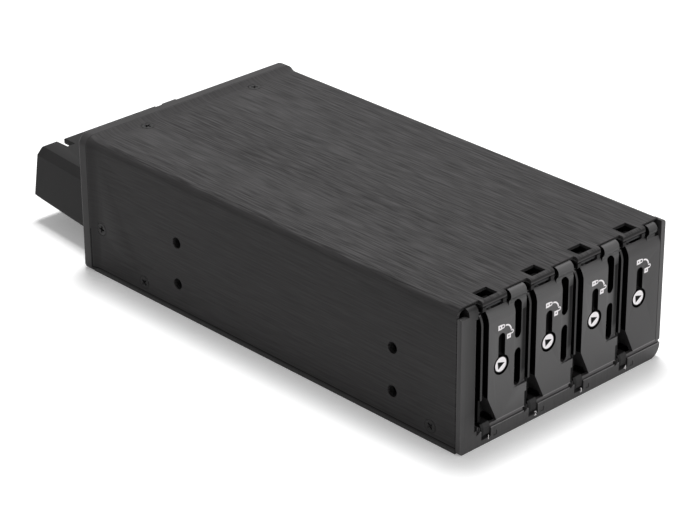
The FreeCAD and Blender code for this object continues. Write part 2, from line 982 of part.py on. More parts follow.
def make_claw(left):
    """Hook that passes under the pin and stands up behind it, just below the cover's window."""
    upper = plate_top - claw_drop
    lower = upper - claw_wall
    bend = claw_inner - claw_step
    barb = claw_inner - claw_barb
    return slab_along_x(
        left + claw_left, left + claw_right,
        (claw_front, lower),
        (claw_front, upper),
        (claw_step, upper),
        (claw_inner, upper + bend),
        (claw_inner, claw_tip_z - 2 * barb),
        (claw_barb, claw_tip_z - barb),
        (claw_barb, claw_tip_z),
        (claw_tip_back, claw_tip_z),
        (claw_outer, claw_tip_z - (claw_outer - claw_tip_back)),
        (claw_outer, upper),
        (claw_outer - claw_wall, lower),
    )


def make_lock_core(left):
    """Round core with its key face in the ring, a square spindle, and a flat cam behind the tray's wall."""
    x = left + lock_u
    core = rod((x, lock_disc_setback, lock_z), (0, 1, 0), lock_boss_end - lock_disc_setback, lock_disc_radius)
    thin = lock_spindle_width / 2
    spindle = box(x - thin, x + thin, lock_boss_end, cam_front, lock_z - thin, lock_z + thin)
    half = cam_width / 2
    reach = cam_length / 2
    cam = slab_along_y(
        cam_front, cam_front + cam_wall,
        (x - half, lock_z - reach + half / 2),
        (x - half, lock_z + reach - half / 2),
        (x - half / 2, lock_z + reach),
        (x + half / 2, lock_z + reach),
        (x + half, lock_z + reach - half / 2),
        (x + half, lock_z - reach + half / 2),
        (x + half / 2, lock_z - reach),
        (x - half / 2, lock_z - reach),
    )
    return joined([core, spindle, cam])


def make_hinge_pin(left):
    start = left + ear_left
    return rod((start, pin_y, pin_z), (1, 0, 0), knuckle_right - ear_left, pin_radius)


# Tray


def make_tray(left):
    x0 = left + tray_left
    x1 = left + tray_right
    wall = tray_wall
    shell = box(x0, x1, tray_front, tray_end, tray_bottom, tray_top)
    hollow = box(x0 + wall, x1 + 1, tray_front + tray_front_wall, tray_end + 1,
                 tray_bottom + wall, tray_top - wall)
    tongue = left + tongue_left
    tongue_end = tray_end - tongue_short
    upper = box(tongue, tongue + tongue_width, tongue_start, tongue_end,
                tray_top, tray_top + upper_tongue_height)
    lower = box(tongue, tongue + tongue_width, tongue_start, tongue_end,
                tray_bottom - lower_tongue_height, tray_bottom)
    post = hex_post(x0 + wall / 2, left + module_u)
    ears = [hinge_ear(left + ear_left), hinge_ear(left + ear_right)]
    tray = joined([shell.cut(hollow), upper, lower, post] + ears)
    cuts = [
        rod((x0 - 1, pin_y, pin_z), (1, 0, 0), ear_right + ear_width - tray_left + 2, pin_radius + hair),
        cam_window(left),
    ]
    window_pitch = (tray_end - tray_front) / (tray_window_count + 1)
    for index in range(tray_window_count):
        start = tray_front + window_pitch * (index + 1 - tray_window_share / 2)
        cuts.append(box(x0 - 1, x0 + wall + hair, start, start + window_pitch * tray_window_share,
                        tray_bottom + tray_window_margin, tray_top - tray_window_margin))
    return tray.cut(cuts)


def hex_post(x0, x1):
    """Six-sided standoff that carries the front end of a module."""
    points = [Vector(x0, post_y + post_radius * math.cos(math.radians(60 * k)),
                     module_z + post_radius * math.sin(math.radians(60 * k))) for k in range(7)]
    return Part.Face(Part.makePolygon(points)).extrude(Vector(x1 - x0, 0, 0))


def cam_window(left):
    """Hole in the tray's front wall that lets the upright cam swing out with the lever."""
    x = left + lock_u
    cam_foot = lock_z - cam_length / 2
    swing = math.hypot(cam_front + cam_wall - pin_y, cam_foot - pin_z)
    lowest = pin_z - math.sqrt(swing ** 2 - (tray_front - pin_y) ** 2)
    half = cam_width / 2 + play
    return box(x - half, x + half, tray_front - 1, tray_front + tray_front_wall + 1,
               lowest - play, lock_z + cam_length / 2 + play)


def hinge_ear(x0):
    """Arm from the tray's front wall to the pin, its tip's corners cut."""
    rear = tray_front + tray_front_wall
    low = pin_z - ear_radius
    high = pin_z + ear_radius
    tip = pin_y - ear_radius
    cut = ear_radius / 2
    return slab_along_x(
        x0, x0 + ear_width,
        (pin_y - cut, low),
        (tip, pin_z - cut),
        (tip, pin_z + cut),
        (pin_y - cut, high),
        (rear - ear_cut, high),
        (rear, high - ear_cut),
        (rear, tray_top - root),
        (tray_front, tray_top - root),
        (tray_front - ear_gusset, low),
    )


def make_heat_plate(left):
    """Finned plate that closes the tray's open side over the module."""
    x1 = left + tray_right
    x0 = x1 - heat_fin_height
    low = tray_bottom + tray_wall + play / 3
    high = tray_top - tray_wall - play / 3
    plate = box(x0 - heat_plate_wall, x0, heat_plate_start, heat_plate_end, low, high)
    fins = []
    pitch = (high - low - heat_fin_wall) / (heat_fin_count - 1)
    for index in range(heat_fin_count):
        z = low + pitch * index
        fins.append(box(x0 - seam, x1, heat_plate_start, heat_plate_end, z, z + heat_fin_wall))
    return joined([plate] + fins)


def make_thermal_pad(left):
    x1 = left + tray_right - heat_fin_height - heat_plate_wall
    y0 = heat_plate_start + pad_inset
    return box(x1 - pad_wall, x1, y0, y0 + pad_length, module_z - pad_width / 2, module_z + pad_width / 2)


# Guides


def guide_rib_pair(left, z0, z1):
    inner = tongue_left - guide_rib_gap
    outer = tongue_left + tongue_width + guide_rib_gap
    return [
        box(left + inner - guide_rib_wall, left + inner, guide_start, guide_end, z0, z1),
        box(left + outer, left + outer + guide_rib_wall, guide_start, guide_end, z0, z1),
    ]


def make_upper_guide():
    top = shell_height - cover_wall - seam
    low = tray_top + upper_tongue_height + play
    plate = box(-guide_half_width, guide_half_width, guide_start, guide_end, low, top)
    ribs = []
    for bay in range(bay_count):
        ribs += guide_rib_pair(plate_left(bay), tray_top + play, low)
    return joined([plate] + ribs)


def make_lower_guide():
    floor = base_wall + running_gap
    deck = pipe_z + pipe_half + guide_deck_wall
    bed = tray_bottom - lower_tongue_height - play
    shapes = [box(-guide_half_width, guide_half_width, guide_start, guide_end, floor, deck)]
    grooves = []
    for bay in range(bay_count):
        left = plate_left(bay)
        x0 = left + tongue_left - guide_rib_gap - guide_rib_wall
        x1 = left + tongue_left + tongue_width + guide_rib_gap + guide_rib_wall
        shapes.append(box(x0, x1, guide_start, guide_end, deck, bed))
        shapes += guide_rib_pair(left, bed, tray_bottom - play)
        x = left + pipe_u
        grooves.append(box(x - pipe_half - seam, x + pipe_half + seam, guide_start - 1, guide_end + 1,
                           floor - 1, pipe_z + pipe_half + seam))
    return joined(shapes).cut(grooves)


def pipe_bar(left, y0, y1, margin):
    half = pipe_half + margin
    x = left + pipe_u
    return box(x - half, x + half, y0, y1, pipe_z - half, pipe_z + half)


def make_light_pipes():
    return [pipe_bar(plate_left(bay), seam, board_front - 2 * seam, 0) for bay in range(bay_count)]


# Board and sockets


def make_board():
    board = box(-board_half_width, board_half_width, board_front, board_rear,
                base_wall + board_floor_gap, board_top)
    cuts = []
    for bay in range(bay_count - 1):
        x = socket_x(bay) + bay_pitch / 2
        cuts.append(box(x - board_slot_width / 2, x + board_slot_width / 2, board_front - 1, board_rear + 1,
                        vent_slot_bottom, vent_slot_top))
    return board.cut(cuts)


def socket_x(bay):
    """Middle of the module's board in a bay."""
    return plate_left(bay) + module_u + module_board / 2


def make_edge_socket(bay):
    x = socket_x(bay)
    front = board_front - edge_socket_depth
    half = edge_socket_height / 2
    body = box(x - edge_socket_wall / 2, x + edge_socket_wall / 2, front, board_front,
               module_z - half, module_z + half)
    slot = box(x - edge_slot_width / 2, x + edge_slot_width / 2, front - 1, front + edge_slot_depth,
               module_z - edge_slot_height / 2, module_z + edge_slot_height / 2)
    return body.cut(slot)


def rear_socket(x, z, width, height):
    """Socket on the back of the board, open to the rear, with a contact tongue inside."""
    half = width / 2
    rise = height / 2
    wall = socket_wall
    mouth_front = socket_end - socket_mouth_depth
    body = box(x - half, x + half, board_rear, socket_end, z - rise, z + rise)
    mouth = box(x - half + wall, x + half - wall, mouth_front, socket_end + 1,
                z - rise + wall, z + rise - wall)
    tongue = box(x - half + 2 * wall, x + half - 2 * wall, mouth_front - root,
                 socket_end - socket_tongue_short, z - socket_tongue_half, z + socket_tongue_half)
    return joined([body.cut(mouth), tongue])


def make_data_socket(index):
    x = (index - (bay_count - 1) / 2) * data_socket_pitch
    return rear_socket(x, data_socket_z, data_socket_width, data_socket_height)


def make_power_socket():
    return rear_socket(0, power_socket_z, power_socket_width, power_socket_height)


# Screws


def make_side_screws():
    return [screw((side * half_width, y, z), (-side, 0, 0)) for side, y, z in side_places()]


def make_top_screws():
    return [screw((side * top_screw_x, top_screw_y, shell_height), (0, 0, -1), top_screw_length)
            for side in (-1, 1)]


def make_cowl_screws():
    face = rear_face + cowl_flange_wall
    screws = []
    for x, z in cowl_screw_places():
        head = rod((x, face, z), (0, 1, 0), cap_screw_height, screw_head_radius)
        shank = rod((x, face + seam, z), (0, -1, 0), cowl_flange_wall + cap_screw_grip, screw_radius)
        screws.append(joined([head, shank]))
    return screws


def main():
    os.makedirs("parts", exist_ok=True)
    save("top_cover", make_top_cover())
    save("base_tray", make_base())
    save("front_bezel", make_bezel())
    save("rear_panel", make_rear_panel())
    save("rear_cowl", make_rear_cowl())
    save("upper_guide", make_upper_guide())
    save("lower_guide", make_lower_guide())
    save("light_pipes", *make_light_pipes())
    save("backplane_board", make_board())
    save("power_socket", make_power_socket())
    save("side_screws", *make_side_screws())
    save("top_screws", *make_top_screws())
    save("cowl_screws", *make_cowl_screws())
    for bay in range(bay_count):
        number = bay + 1
        left = plate_left(bay)
        save(f"edge_socket_{number}", make_edge_socket(bay))
        save(f"data_socket_{number}", make_data_socket(bay))
        save(f"tray_{number}", make_tray(left))
        save(f"heat_plate_{number}", make_heat_plate(left))
        save(f"thermal_pad_{number}", make_thermal_pad(left))
        save(f"lever_{number}", make_lever(left, bay < bays_with_vents))
        save(f"lock_core_{number}", make_lock_core(left))
        save(f"hinge_pin_{number}", make_hinge_pin(left))
        save(f"lever_catch_{number}", make_catch(left))
        save(f"catch_spring_{number}", make_catch_spring(left))


main()
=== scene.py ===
# %% [markdown]
# A hot swap drive cage
#
# The real thing is a low box of black brushed aluminium, about as wide as a hand, with four
# upright drawers in its front. Each drawer has a hinged lever with a small turning lock. A
# plastic hood at the rear shields the sockets. The shape, sizes and joints come from the CAD
# model, which is loaded first and never changed. This lesson gives that model its looks.

# %% Load the frame
import math
import random

import bmesh
import bpy
from mathutils import Matrix, Vector


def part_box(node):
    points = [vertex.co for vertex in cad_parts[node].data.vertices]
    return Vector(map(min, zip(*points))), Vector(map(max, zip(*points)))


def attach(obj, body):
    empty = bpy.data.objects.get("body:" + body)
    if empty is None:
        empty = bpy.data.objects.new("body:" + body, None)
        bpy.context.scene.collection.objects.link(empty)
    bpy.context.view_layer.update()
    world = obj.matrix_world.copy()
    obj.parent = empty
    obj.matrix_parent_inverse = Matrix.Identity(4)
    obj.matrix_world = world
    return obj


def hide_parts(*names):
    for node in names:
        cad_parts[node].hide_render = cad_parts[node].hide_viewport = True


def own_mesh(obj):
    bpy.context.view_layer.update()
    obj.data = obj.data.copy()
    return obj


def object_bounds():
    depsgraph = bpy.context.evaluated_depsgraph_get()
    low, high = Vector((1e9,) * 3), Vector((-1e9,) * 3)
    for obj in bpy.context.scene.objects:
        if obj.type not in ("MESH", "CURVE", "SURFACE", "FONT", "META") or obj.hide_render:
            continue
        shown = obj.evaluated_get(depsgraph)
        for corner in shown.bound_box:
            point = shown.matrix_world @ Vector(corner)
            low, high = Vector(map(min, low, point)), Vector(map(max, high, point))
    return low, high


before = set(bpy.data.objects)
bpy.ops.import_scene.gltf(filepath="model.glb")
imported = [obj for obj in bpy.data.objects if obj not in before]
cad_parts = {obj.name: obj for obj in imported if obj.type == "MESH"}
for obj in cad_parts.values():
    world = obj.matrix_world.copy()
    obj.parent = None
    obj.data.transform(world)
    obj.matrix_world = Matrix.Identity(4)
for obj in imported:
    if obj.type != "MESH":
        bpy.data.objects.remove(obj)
cad_box = [list(corner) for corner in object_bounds()]
mm = 0.001
bays = (1, 2, 3, 4)
print("CAD box in metres", cad_box)

# %% [markdown]
# A product photograph is taken with a long lens from well back, so that the box keeps nearly
# parallel edges. The camera below was worked out from the box's own edges in the photograph:
# its direction, a slight roll, its distance and how far the box lies off the picture's centre.
# The lens follows from the picture's width of 700 pixels.

# %% Camera
picture_width = 700
lens_in_pixels = 2685.6
sensor_width = 36.0
camera_azimuth = math.radians(-43.674)
camera_elevation = math.radians(26.563)
camera_roll = math.radians(-0.2335)
camera_distance = 657.6 * mm
camera_right = -52.03 * mm
camera_up = 34.11 * mm
front_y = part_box("front_bezel")[0][1]


def camera_axes():
    """Right, up and back directions of the camera."""
    back = Vector((
        math.sin(camera_azimuth) * math.cos(camera_elevation),
        -math.cos(camera_azimuth) * math.cos(camera_elevation),
        math.sin(camera_elevation),
    ))
    level = Vector((math.cos(camera_azimuth), math.sin(camera_azimuth), 0))
    steep = back.cross(level)
    right = math.cos(camera_roll) * level + math.sin(camera_roll) * steep
    up = -math.sin(camera_roll) * level + math.cos(camera_roll) * steep
    return right, up, back


def make_camera():
    right, up, back = camera_axes()
    data = bpy.data.cameras.new("camera")
    data.sensor_width = sensor_width
    data.lens = sensor_width * lens_in_pixels / picture_width
    data.clip_start = 10 * mm
    camera = bpy.data.objects.new("camera", data)
    bpy.context.collection.objects.link(camera)
    place = right * camera_right + up * camera_up + back * camera_distance + Vector((0, front_y, 0))
    turn = Matrix((right, up, back)).transposed().to_4x4()
    camera.matrix_world = Matrix.Translation(place) @ turn
    bpy.context.scene.camera = camera
    return camera


camera = make_camera()
print("lens in millimetres", round(camera.data.lens, 1))

# %% [markdown]
# Shader maths reads best as plain arithmetic. The small class below wraps one socket of a node
# tree. Each of its operators adds one Math node that works on the socket, so the list of them
# reads as a table of which sign stands for which node. The swapped ones serve a plain number on
# the left of the sign, as in 1 - mask.

# %% Shader arithmetic


def operator(operation, swapped=False):
    """A method that adds one Math node; swapped puts the other value first."""

    def work(self, *others):
        terms = [self, *others]
        if swapped:
            terms.reverse()
        return self.tree.math(operation, *terms)

    return work


class Value:
    """A socket of a node tree; arithmetic on it adds Math nodes."""

    __add__ = operator("ADD")
    __radd__ = operator("ADD", swapped=True)
    __sub__ = operator("SUBTRACT")
    __rsub__ = operator("SUBTRACT", swapped=True)
    __mul__ = operator("MULTIPLY")
    __rmul__ = operator("MULTIPLY", swapped=True)
    __truediv__ = operator("DIVIDE")
    __mod__ = operator("MODULO")
    __gt__ = operator("GREATER_THAN")
    __lt__ = operator("LESS_THAN")
    __abs__ = operator("ABSOLUTE")
    root = operator("SQRT")
    highest = operator("MAXIMUM")

    def __init__(self, tree, socket):
        self.tree = tree
        self.socket = socket

    def toward(self, other, share):
        """This value where the share is 0, the other where it is 1."""
        return self + (other - self) * share


print("shader arithmetic ready")

# %% [markdown]
# A node tree gets its nodes through one method, which sets a node's choices, feeds its inputs
# and hands back an output. A finish is such a tree behind one material's shader. With both, every
# finish further down is only a few lines long.

# %% Node trees and finishes


class Tree:
    """A node tree that makes and feeds its own nodes."""

    def __init__(self, node_tree):
        self.nodes = node_tree.nodes
        self.links = node_tree.links

    def node(self, kind, settings=None, inputs=None, output=0):
        made = self.nodes.new(kind)
        for name, value in (settings or {}).items():
            if name == "stops":
                self.set_stops(made.color_ramp, value)
            else:
                setattr(made, name, value)
        for name, value in (inputs or {}).items():
            self.feed(made.inputs[name], value)
        return Value(self, made.outputs[output])

    def math(self, operation, *terms):
        return self.node("ShaderNodeMath", {"operation": operation}, dict(enumerate(terms)))

    def set_stops(self, ramp, stops):
        while len(ramp.elements) < len(stops):
            ramp.elements.new(0.5)
        for element, (position, level) in zip(ramp.elements, stops):
            element.position = position
            element.color = (level, level, level, 1)

    def feed(self, socket, value):
        if isinstance(value, Value):
            self.links.new(value.socket, socket)
        else:
            socket.default_value = value


class Finish(Tree):
    """One material and the nodes behind its shader."""

    def __init__(self, name):
        self.material = bpy.data.materials.new(name)
        self.material.use_nodes = True
        super().__init__(self.material.node_tree)
        self.shader = self.nodes["Principled BSDF"]

    def set(self, **values):
        for name, value in values.items():
            self.feed(self.shader.inputs[name.replace("_", " ")], value)

    def place(self):
        return self.node("ShaderNodeTexCoord", output="Object")

    def parts(self, kind):
        """X, Y and Z of a point, kind Object, or of its outward direction, kind Normal."""
        vector = self.node("ShaderNodeTexCoord", output=kind)
        split = self.nodes.new("ShaderNodeSeparateXYZ")
        self.feed(split.inputs[0], vector)
        return [Value(self, socket) for socket in split.outputs]

    def noise(self, scale, detail=2.0, roughness=0.5, place=None):
        """Cloudy pattern; scale gives the lumps per metre along X, Y and Z."""
        stretched = self.node("ShaderNodeMapping", None,
                              {"Vector": place or self.place(), "Scale": scale})
        return self.node("ShaderNodeTexNoise", None,
                         {"Vector": stretched, "Scale": 1.0, "Detail": detail, "Roughness": roughness})

    def ramp(self, value, *stops):
        return self.node("ShaderNodeValToRGB", {"stops": stops}, {"Fac": value})

    def rise(self, value):
        """The value itself, held between 0 and 1."""
        return self.ramp(value, (0.0, 0.0), (1.0, 1.0))

    def tint(self, share, first, second):
        """Colour between two others."""
        return self.node("ShaderNodeMix", {"data_type": "RGBA"},
                         {"Factor": share, "A": first, "B": second}, output="Result")

    def bump(self, height, distance):
        return self.node("ShaderNodeBump", None,
                         {"Height": height, "Distance": distance, "Strength": 1.0})


def grey(level):
    """Neutral black or grey, a touch warm as black anodising is."""
    return (level * 1.02, level * 0.985, level, 1)


print("node trees ready")

# %% [markdown]
# The cover is aluminium that was brushed along its length and then anodised black. Brushing
# leaves hair lines: long streaks, each a fraction of a millimetre wide. A noise texture squeezed
# across the streaks and stretched along them draws such lines at any distance. Two sizes are
# added, because real brushing has a few bold lines among many fine ones. The streaks follow the
# sheet, so each face uses the axis that lies in it, and a curved lip keeps its lines straight.
# The dark joints beside the cover get a tone of their own. Light and shade are painted in a few
# places: shade on the cover's sides and on the bezel's side and level faces, a highlight along the
# edge of the sill's step, light on the recess above it, which lies in the levers' shade, and shade
# on the bezel's left post, darker to its right and higher up.

# %% Brushed aluminium
fine_line = 0.26 * mm
bold_line = 0.55 * mm
fine_length = 7 * mm
bold_length = 14 * mm
facing = 0.6
lip_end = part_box("top_cover")[1][1]
lip_start = lip_end - 5 * mm
lip_fade = 3 * mm
joint_low = 1.45 * mm
joint_high = 1.70 * mm
rim_joint_start = lip_end - 0.45 * mm
rim_joint_end = lip_end - 0.15 * mm
rim_joint_top = 13.0 * mm
front_skin = 0.2 * mm
sill_step = 3.85 * mm
sill_recess_top = 4.8 * mm
highlight_below = 0.22 * mm
highlight_above = 0.04 * mm
recess_overlap = 0.05 * mm
post_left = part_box("front_bezel")[0][0]
post_width = 5.6 * mm
post_shade_height = 12.0 * mm
sill_left = post_left + 6.0 * mm


def brushed(name, along, dark, light, rough, depth, gloss=0.25, calm=1.0, side_shade=0.0, joints_and_painted_light=None):
    """Black aluminium with hair-line streaks along Y or Z; calm evens them on the other faces, and the
    number after it paints those faces darker, as shade.
    """
    finish = Finish(name)
    x, y, z = finish.parts("Object")
    normal = finish.parts("Normal")
    faces_x = abs(normal[0]) > facing
    faces_z = abs(normal[2]) > facing
    if along == "Y":
        across = z.toward(x, faces_z)
        length = y
        off_face = faces_x
    else:
        off_face = faces_x.highest(faces_z)
        across = x.toward(y, off_face)
        length = z.toward(x, faces_z)
    sheet = finish.node("ShaderNodeCombineXYZ", None, {"X": across, "Y": length, "Z": 0.0})
    fine = finish.noise((1 / fine_line, 1 / fine_length, 1.0), 2.0, 0.6, sheet)
    bold = finish.noise((1 / bold_line, 1 / bold_length, 1.0), 1.0, 0.5, sheet)
    streak = finish.ramp(fine * 0.5 + bold * 0.5, (0.34, 0.0), (0.66, 1.0))
    lip = finish.rise((y - lip_start) / lip_fade)
    streak = (streak - 0.5) * (1.0 - off_face * (1.0 - calm)) * (1.0 - lip * 0.6) + 0.5
    cloud = finish.noise([35, 18, 35], detail=1.0)
    # The other faces are painted darker by the given share: painted shade on the sides.
    mix = (streak * 0.85 + cloud * 0.15) * (1.0 - off_face * side_shade)
    colour = finish.tint(mix, grey(dark), grey(light))
    metal = 0.05
    # Each mark tints the colour; a mark of painted shade also raises Metallic over its dark colour, so
    # that it mirrors less.
    for where, level, shade_metal in joints_and_painted_light(finish, x, y, z) if joints_and_painted_light else ():
        colour = finish.tint(where, colour, grey(level))
        if shade_metal:
            metal = where * shade_metal + metal
    finish.set(
        Base_Color=colour,
        Metallic=metal,
        Roughness=streak * 0.14 + cloud * 0.06 + (rough - 0.1),
        Specular_IOR_Level=gloss,
        Normal=finish.bump(fine * 0.5 + bold * 0.5, depth * mm),
    )
    return finish.material


def cover_lines(finish, x, y, z):
    """Dark joints above the base's edge and beside the low part of the rim."""
    low_joint = (z > joint_low) * (z < joint_high)
    rim_joint = (y > rim_joint_start) * (y < rim_joint_end) * (z > joint_low) * (z < rim_joint_top)
    return [(low_joint.highest(rim_joint), 0.001, 0.0)]


def bezel_lines(finish, x, y, z):
    """Painted shade on the left post, a painted highlight along the sill's step, and painted light on the
    set-back face above it.
    """
    # Painted highlight along the edge of the sill's step.
    height = (z > sill_step - highlight_below) * (z < sill_step + highlight_above)
    step_highlight = height * (y < front_y + front_skin) * (x > sill_left)
    # Painted shade on the left post, darker to its right.
    post_shade = finish.ramp((x - post_left) / post_width, (0.0, 0.30), (0.45, 0.60), (1.0, 1.0))
    # Painted light on the set-back face above the step, which lies in the levers' shade.
    height = (z > sill_step - recess_overlap) * (z < sill_recess_top)
    recess_painted_light = height * (y > front_y + front_skin) * (x > sill_left)
    # The post's painted shade grows from the bottom upward.
    post = finish.ramp(z / post_shade_height, (0.15, 0.0), (0.85, 1.0)) * (x < sill_left)
    return [(post_shade * post, 0.008, 0.60), (step_highlight, 0.13, 0.0), (recess_painted_light, 0.075, 0.0)]


# The number before the marks is the painted shade on each sheet's other faces.
cover_finish = brushed("cover_finish", "Y", 0.008, 0.072, 0.50, 0.010, 0.05, 0.3, 0.15, cover_lines)
bezel_finish = brushed("bezel_finish", "Z", 0.030, 0.052, 0.42, 0.006, 0.35, 0.3, 0.50, bezel_lines)
print("brushed finishes", cover_finish.name, bezel_finish.name)

# %% [markdown]
# The levers, the catches and the hood are black plastic. Their moulds are spark eroded, which
# leaves a fine even grain that scatters the light. The grain is too small to see as bumps, but
# it softens every reflection. The catches have an extra rule: what lies behind the levers' left
# edge is in the dark on the real cage, so it is painted a deeper black.

# %% Moulded plastics
grain_size = 0.16 * mm
grain_depth = 0.006 * mm
bay_pitch = 16.5 * mm
rib_reach = 2.1 * mm
rib_room = 3 * mm
hidden_edge = -0.9 * mm


def lever_left(bay):
    """X of the left edge of a lever's front plate, which starts a little right of its rib."""
    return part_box(f"lever_{bay}")[0][0] + rib_reach


def from_plate_edge(x):
    """How far a point lies to the right of the left edge of its own bay's lever plate."""
    return (x - lever_left(1) + rib_room) % bay_pitch - rib_room


def moulded(name, dark, light, rough, gloss=0.5, dark_edge=False):
    """Black plastic from a grained mould, if wished deeper black behind the lever's left edge."""
    finish = Finish(name)
    grain = finish.noise([1 / grain_size] * 3, detail=2.0, roughness=0.6)
    cloud = finish.noise([90, 90, 90], detail=2.0)
    colour = finish.tint(cloud, grey(dark), grey(light))
    if dark_edge:
        x = finish.parts("Object")[0]
        colour = finish.tint(from_plate_edge(x) < hidden_edge, colour, grey(0.003))
    finish.set(
        Base_Color=colour,
        Roughness=grain * 0.10 + cloud * 0.06 + (rough - 0.08),
        Specular_IOR_Level=gloss,
        Normal=finish.bump(grain, grain_depth),
    )
    return finish.material


catch_finish = moulded("catch_plastic", 0.013, 0.022, 0.45, gloss=0.15, dark_edge=True)
guide_finish = moulded("guide_plastic", 0.008, 0.012, 0.50, gloss=0.1)
cowl_finish = moulded("cowl_plastic", 0.012, 0.019, 0.50, gloss=0.08)
socket_finish = moulded("socket_plastic", 0.010, 0.016, 0.40)
print("plastics ready")

# %% [markdown]
# A lever's front face is much lighter than the slots and grooves in it, which lie in shade. Its
# finish therefore paints that shade: it measures how far a point lies behind the front face,
# following the bow at the top, and turns a deeper point or a side wall into a black that mirrors
# nothing. The shallow scoop at the right fades into that painted black, the knuckle has a painted
# sheen on top and painted shade below, and the plate's lower edge is a painted thin bright line.

# %% Lever plastic
bow_start = 31.6 * mm
bow_radius = 4.6 * mm
neck_start = 34.2 * mm
claw_start = 3.4 * mm
shade_depth = 0.8 * mm
wall_facing = -0.45
plate_bottom = 5.0 * mm
painted_highlight_width = 0.22 * mm
scoop_left = 8.5 * mm
scoop_start = 10.9 * mm
scoop_end = 12.3 * mm
scoop_bottom = 11.9 * mm
scoop_fade = 3.5 * mm
scoop_floor_half = 1.0 * mm
plate_right = 12.9 * mm
corner_top = 9.2 * mm
pocket_top = 12.0 * mm


def lever_plastic(name):
    """Grained on the lever's front face, with painted shade, a dead black, in its grooves and side walls,
    and painted highlights on its knuckle and lower edge.
    """
    finish = Finish(name)
    x, y, z = finish.parts("Object")
    facing_x, facing_y, facing_z = finish.parts("Normal")
    climb = (z - bow_start).highest(0.0)
    bow = bow_radius - (bow_radius ** 2 - climb * climb).highest(0.0).root()
    depth = y - front_y - bow
    # Painted shade: the deeper a point lies behind the front face, the blacker it is.
    behind = finish.ramp(depth / shade_depth, (0.0, 0.0), (0.45, 0.35), (1.0, 1.0)) * (z < neck_start)
    across = from_plate_edge(x)
    scoop_floor = (facing_z > 0.4) * (across > scoop_left) * (abs(z - scoop_bottom) < scoop_floor_half)
    # Painted shade on side walls, less of it on the scoop's floor.
    wall = (abs(facing_x) > facing).highest((facing_y > wall_facing) * (z < bow_start))
    wall = wall * (1.0 - scoop_floor * 0.6)
    wide_lever = x > lever_left(4)
    # The plate's lower right corner is painted black, as painted shade.
    corner = (across > plate_right) * (z < corner_top) * (1.0 - wide_lever)
    # Painted shade on the scoop, darker towards its right and upward.
    scoop_shade = finish.rise((across - scoop_start) / (scoop_end - scoop_start)) * (z < bow_start)
    scoop_shade = scoop_shade * finish.rise((z - scoop_bottom) / scoop_fade) * (1.0 - wide_lever)
    # All painted shade together, also on what lies behind the knuckle.
    shade = behind.highest(wall).highest(scoop_shade).highest(y > front_y + claw_start).highest(corner)
    # The painted shade is a little lighter low down, beside the catch.
    low = (z < pocket_top) * (across > hidden_edge) * (1.0 - corner)
    grain = finish.noise([1 / grain_size] * 3, detail=2.0, roughness=0.6)
    cloud = finish.noise([70, 70, 70], detail=2.0)
    face = finish.tint(cloud, grey(0.031), grey(0.043))
    # Painted sheen on the knuckle's top and painted shade under it.
    painted_sheen = finish.ramp(facing_z, (0.0, 0.0), (0.85, 1.0))
    face = finish.tint(z > neck_start, face, finish.tint(painted_sheen, grey(0.010), grey(0.060)))
    # Painted highlight along the plate's lower edge.
    edge = (z < plate_bottom + painted_highlight_width) * (depth < painted_highlight_width)
    face = finish.tint(edge, face, grey(0.15))
    finish.set(
        Base_Color=finish.tint(shade, face, finish.tint(low, grey(0.006), grey(0.030))),
        Metallic=(shade * (1.0 - low * 0.6)).highest(wide_lever * 0.48),
        Roughness=grain * 0.10 + cloud * 0.06 + 0.42,
        Normal=finish.bump(grain, grain_depth),
    )
    return finish.material


lever_finish = lever_plastic("lever_plastic")
print(lever_finish.name, len(lever_finish.node_tree.nodes), "nodes")

# %% [markdown]
# Painted steel is smooth with a faint orange peel, bare metal is bright with fine scratches, and
# the white marks are a thick matt ink. Light pipes are smoked acrylic and the thermal pads a dull
# rubbery gap filler. Most of these have one fine pattern that drives their colour, their
# roughness and their relief together, so one recipe with different numbers serves them.

# %% Paint, metal, ink, acrylic and rubber


def painted(name, level, rough, gloss=0.3):
    """Black paint with a faint orange peel."""
    finish = Finish(name)
    peel = finish.noise([900, 900, 900], detail=1.0)
    cloud = finish.noise([60, 60, 60], detail=2.0)
    finish.set(
        Base_Color=finish.tint(cloud, grey(level * 0.8), grey(level * 1.25)),
        Roughness=peel * 0.08 + (rough - 0.04),
        Specular_IOR_Level=gloss,
        Normal=finish.bump(peel, 0.01 * mm),
    )
    return finish.material


def patterned(name, scale, dark, light, rough, spread, relief, busy=0.5, **constants):
    """One fine pattern in colour, roughness and relief; rough and spread are its least and range."""
    finish = Finish(name)
    pattern = finish.noise(scale, roughness=busy)
    finish.set(
        Base_Color=finish.tint(pattern, dark, light),
        Roughness=pattern * spread + rough,
        **constants,
    )
    if relief:
        finish.set(Normal=finish.bump(pattern, relief))
    return finish.material


def bare_metal(name, colour, rough, turned=(2600, 300, 2600)):
    """Plated or ground metal with fine scratches."""
    dark = [part * 0.8 for part in colour] + [1]
    return patterned(name, turned, dark, list(colour) + [1], rough - 0.07, 0.14, 0.004 * mm,
                     busy=0.6, Metallic=1.0)


def ink(name, level, gloss=0.5):
    """Screen-printed ink, slightly uneven."""
    return patterned(name, [3500] * 3, grey(level * 0.88), grey(level), 0.45, 0.15, 0.004 * mm,
                     Specular_IOR_Level=gloss)


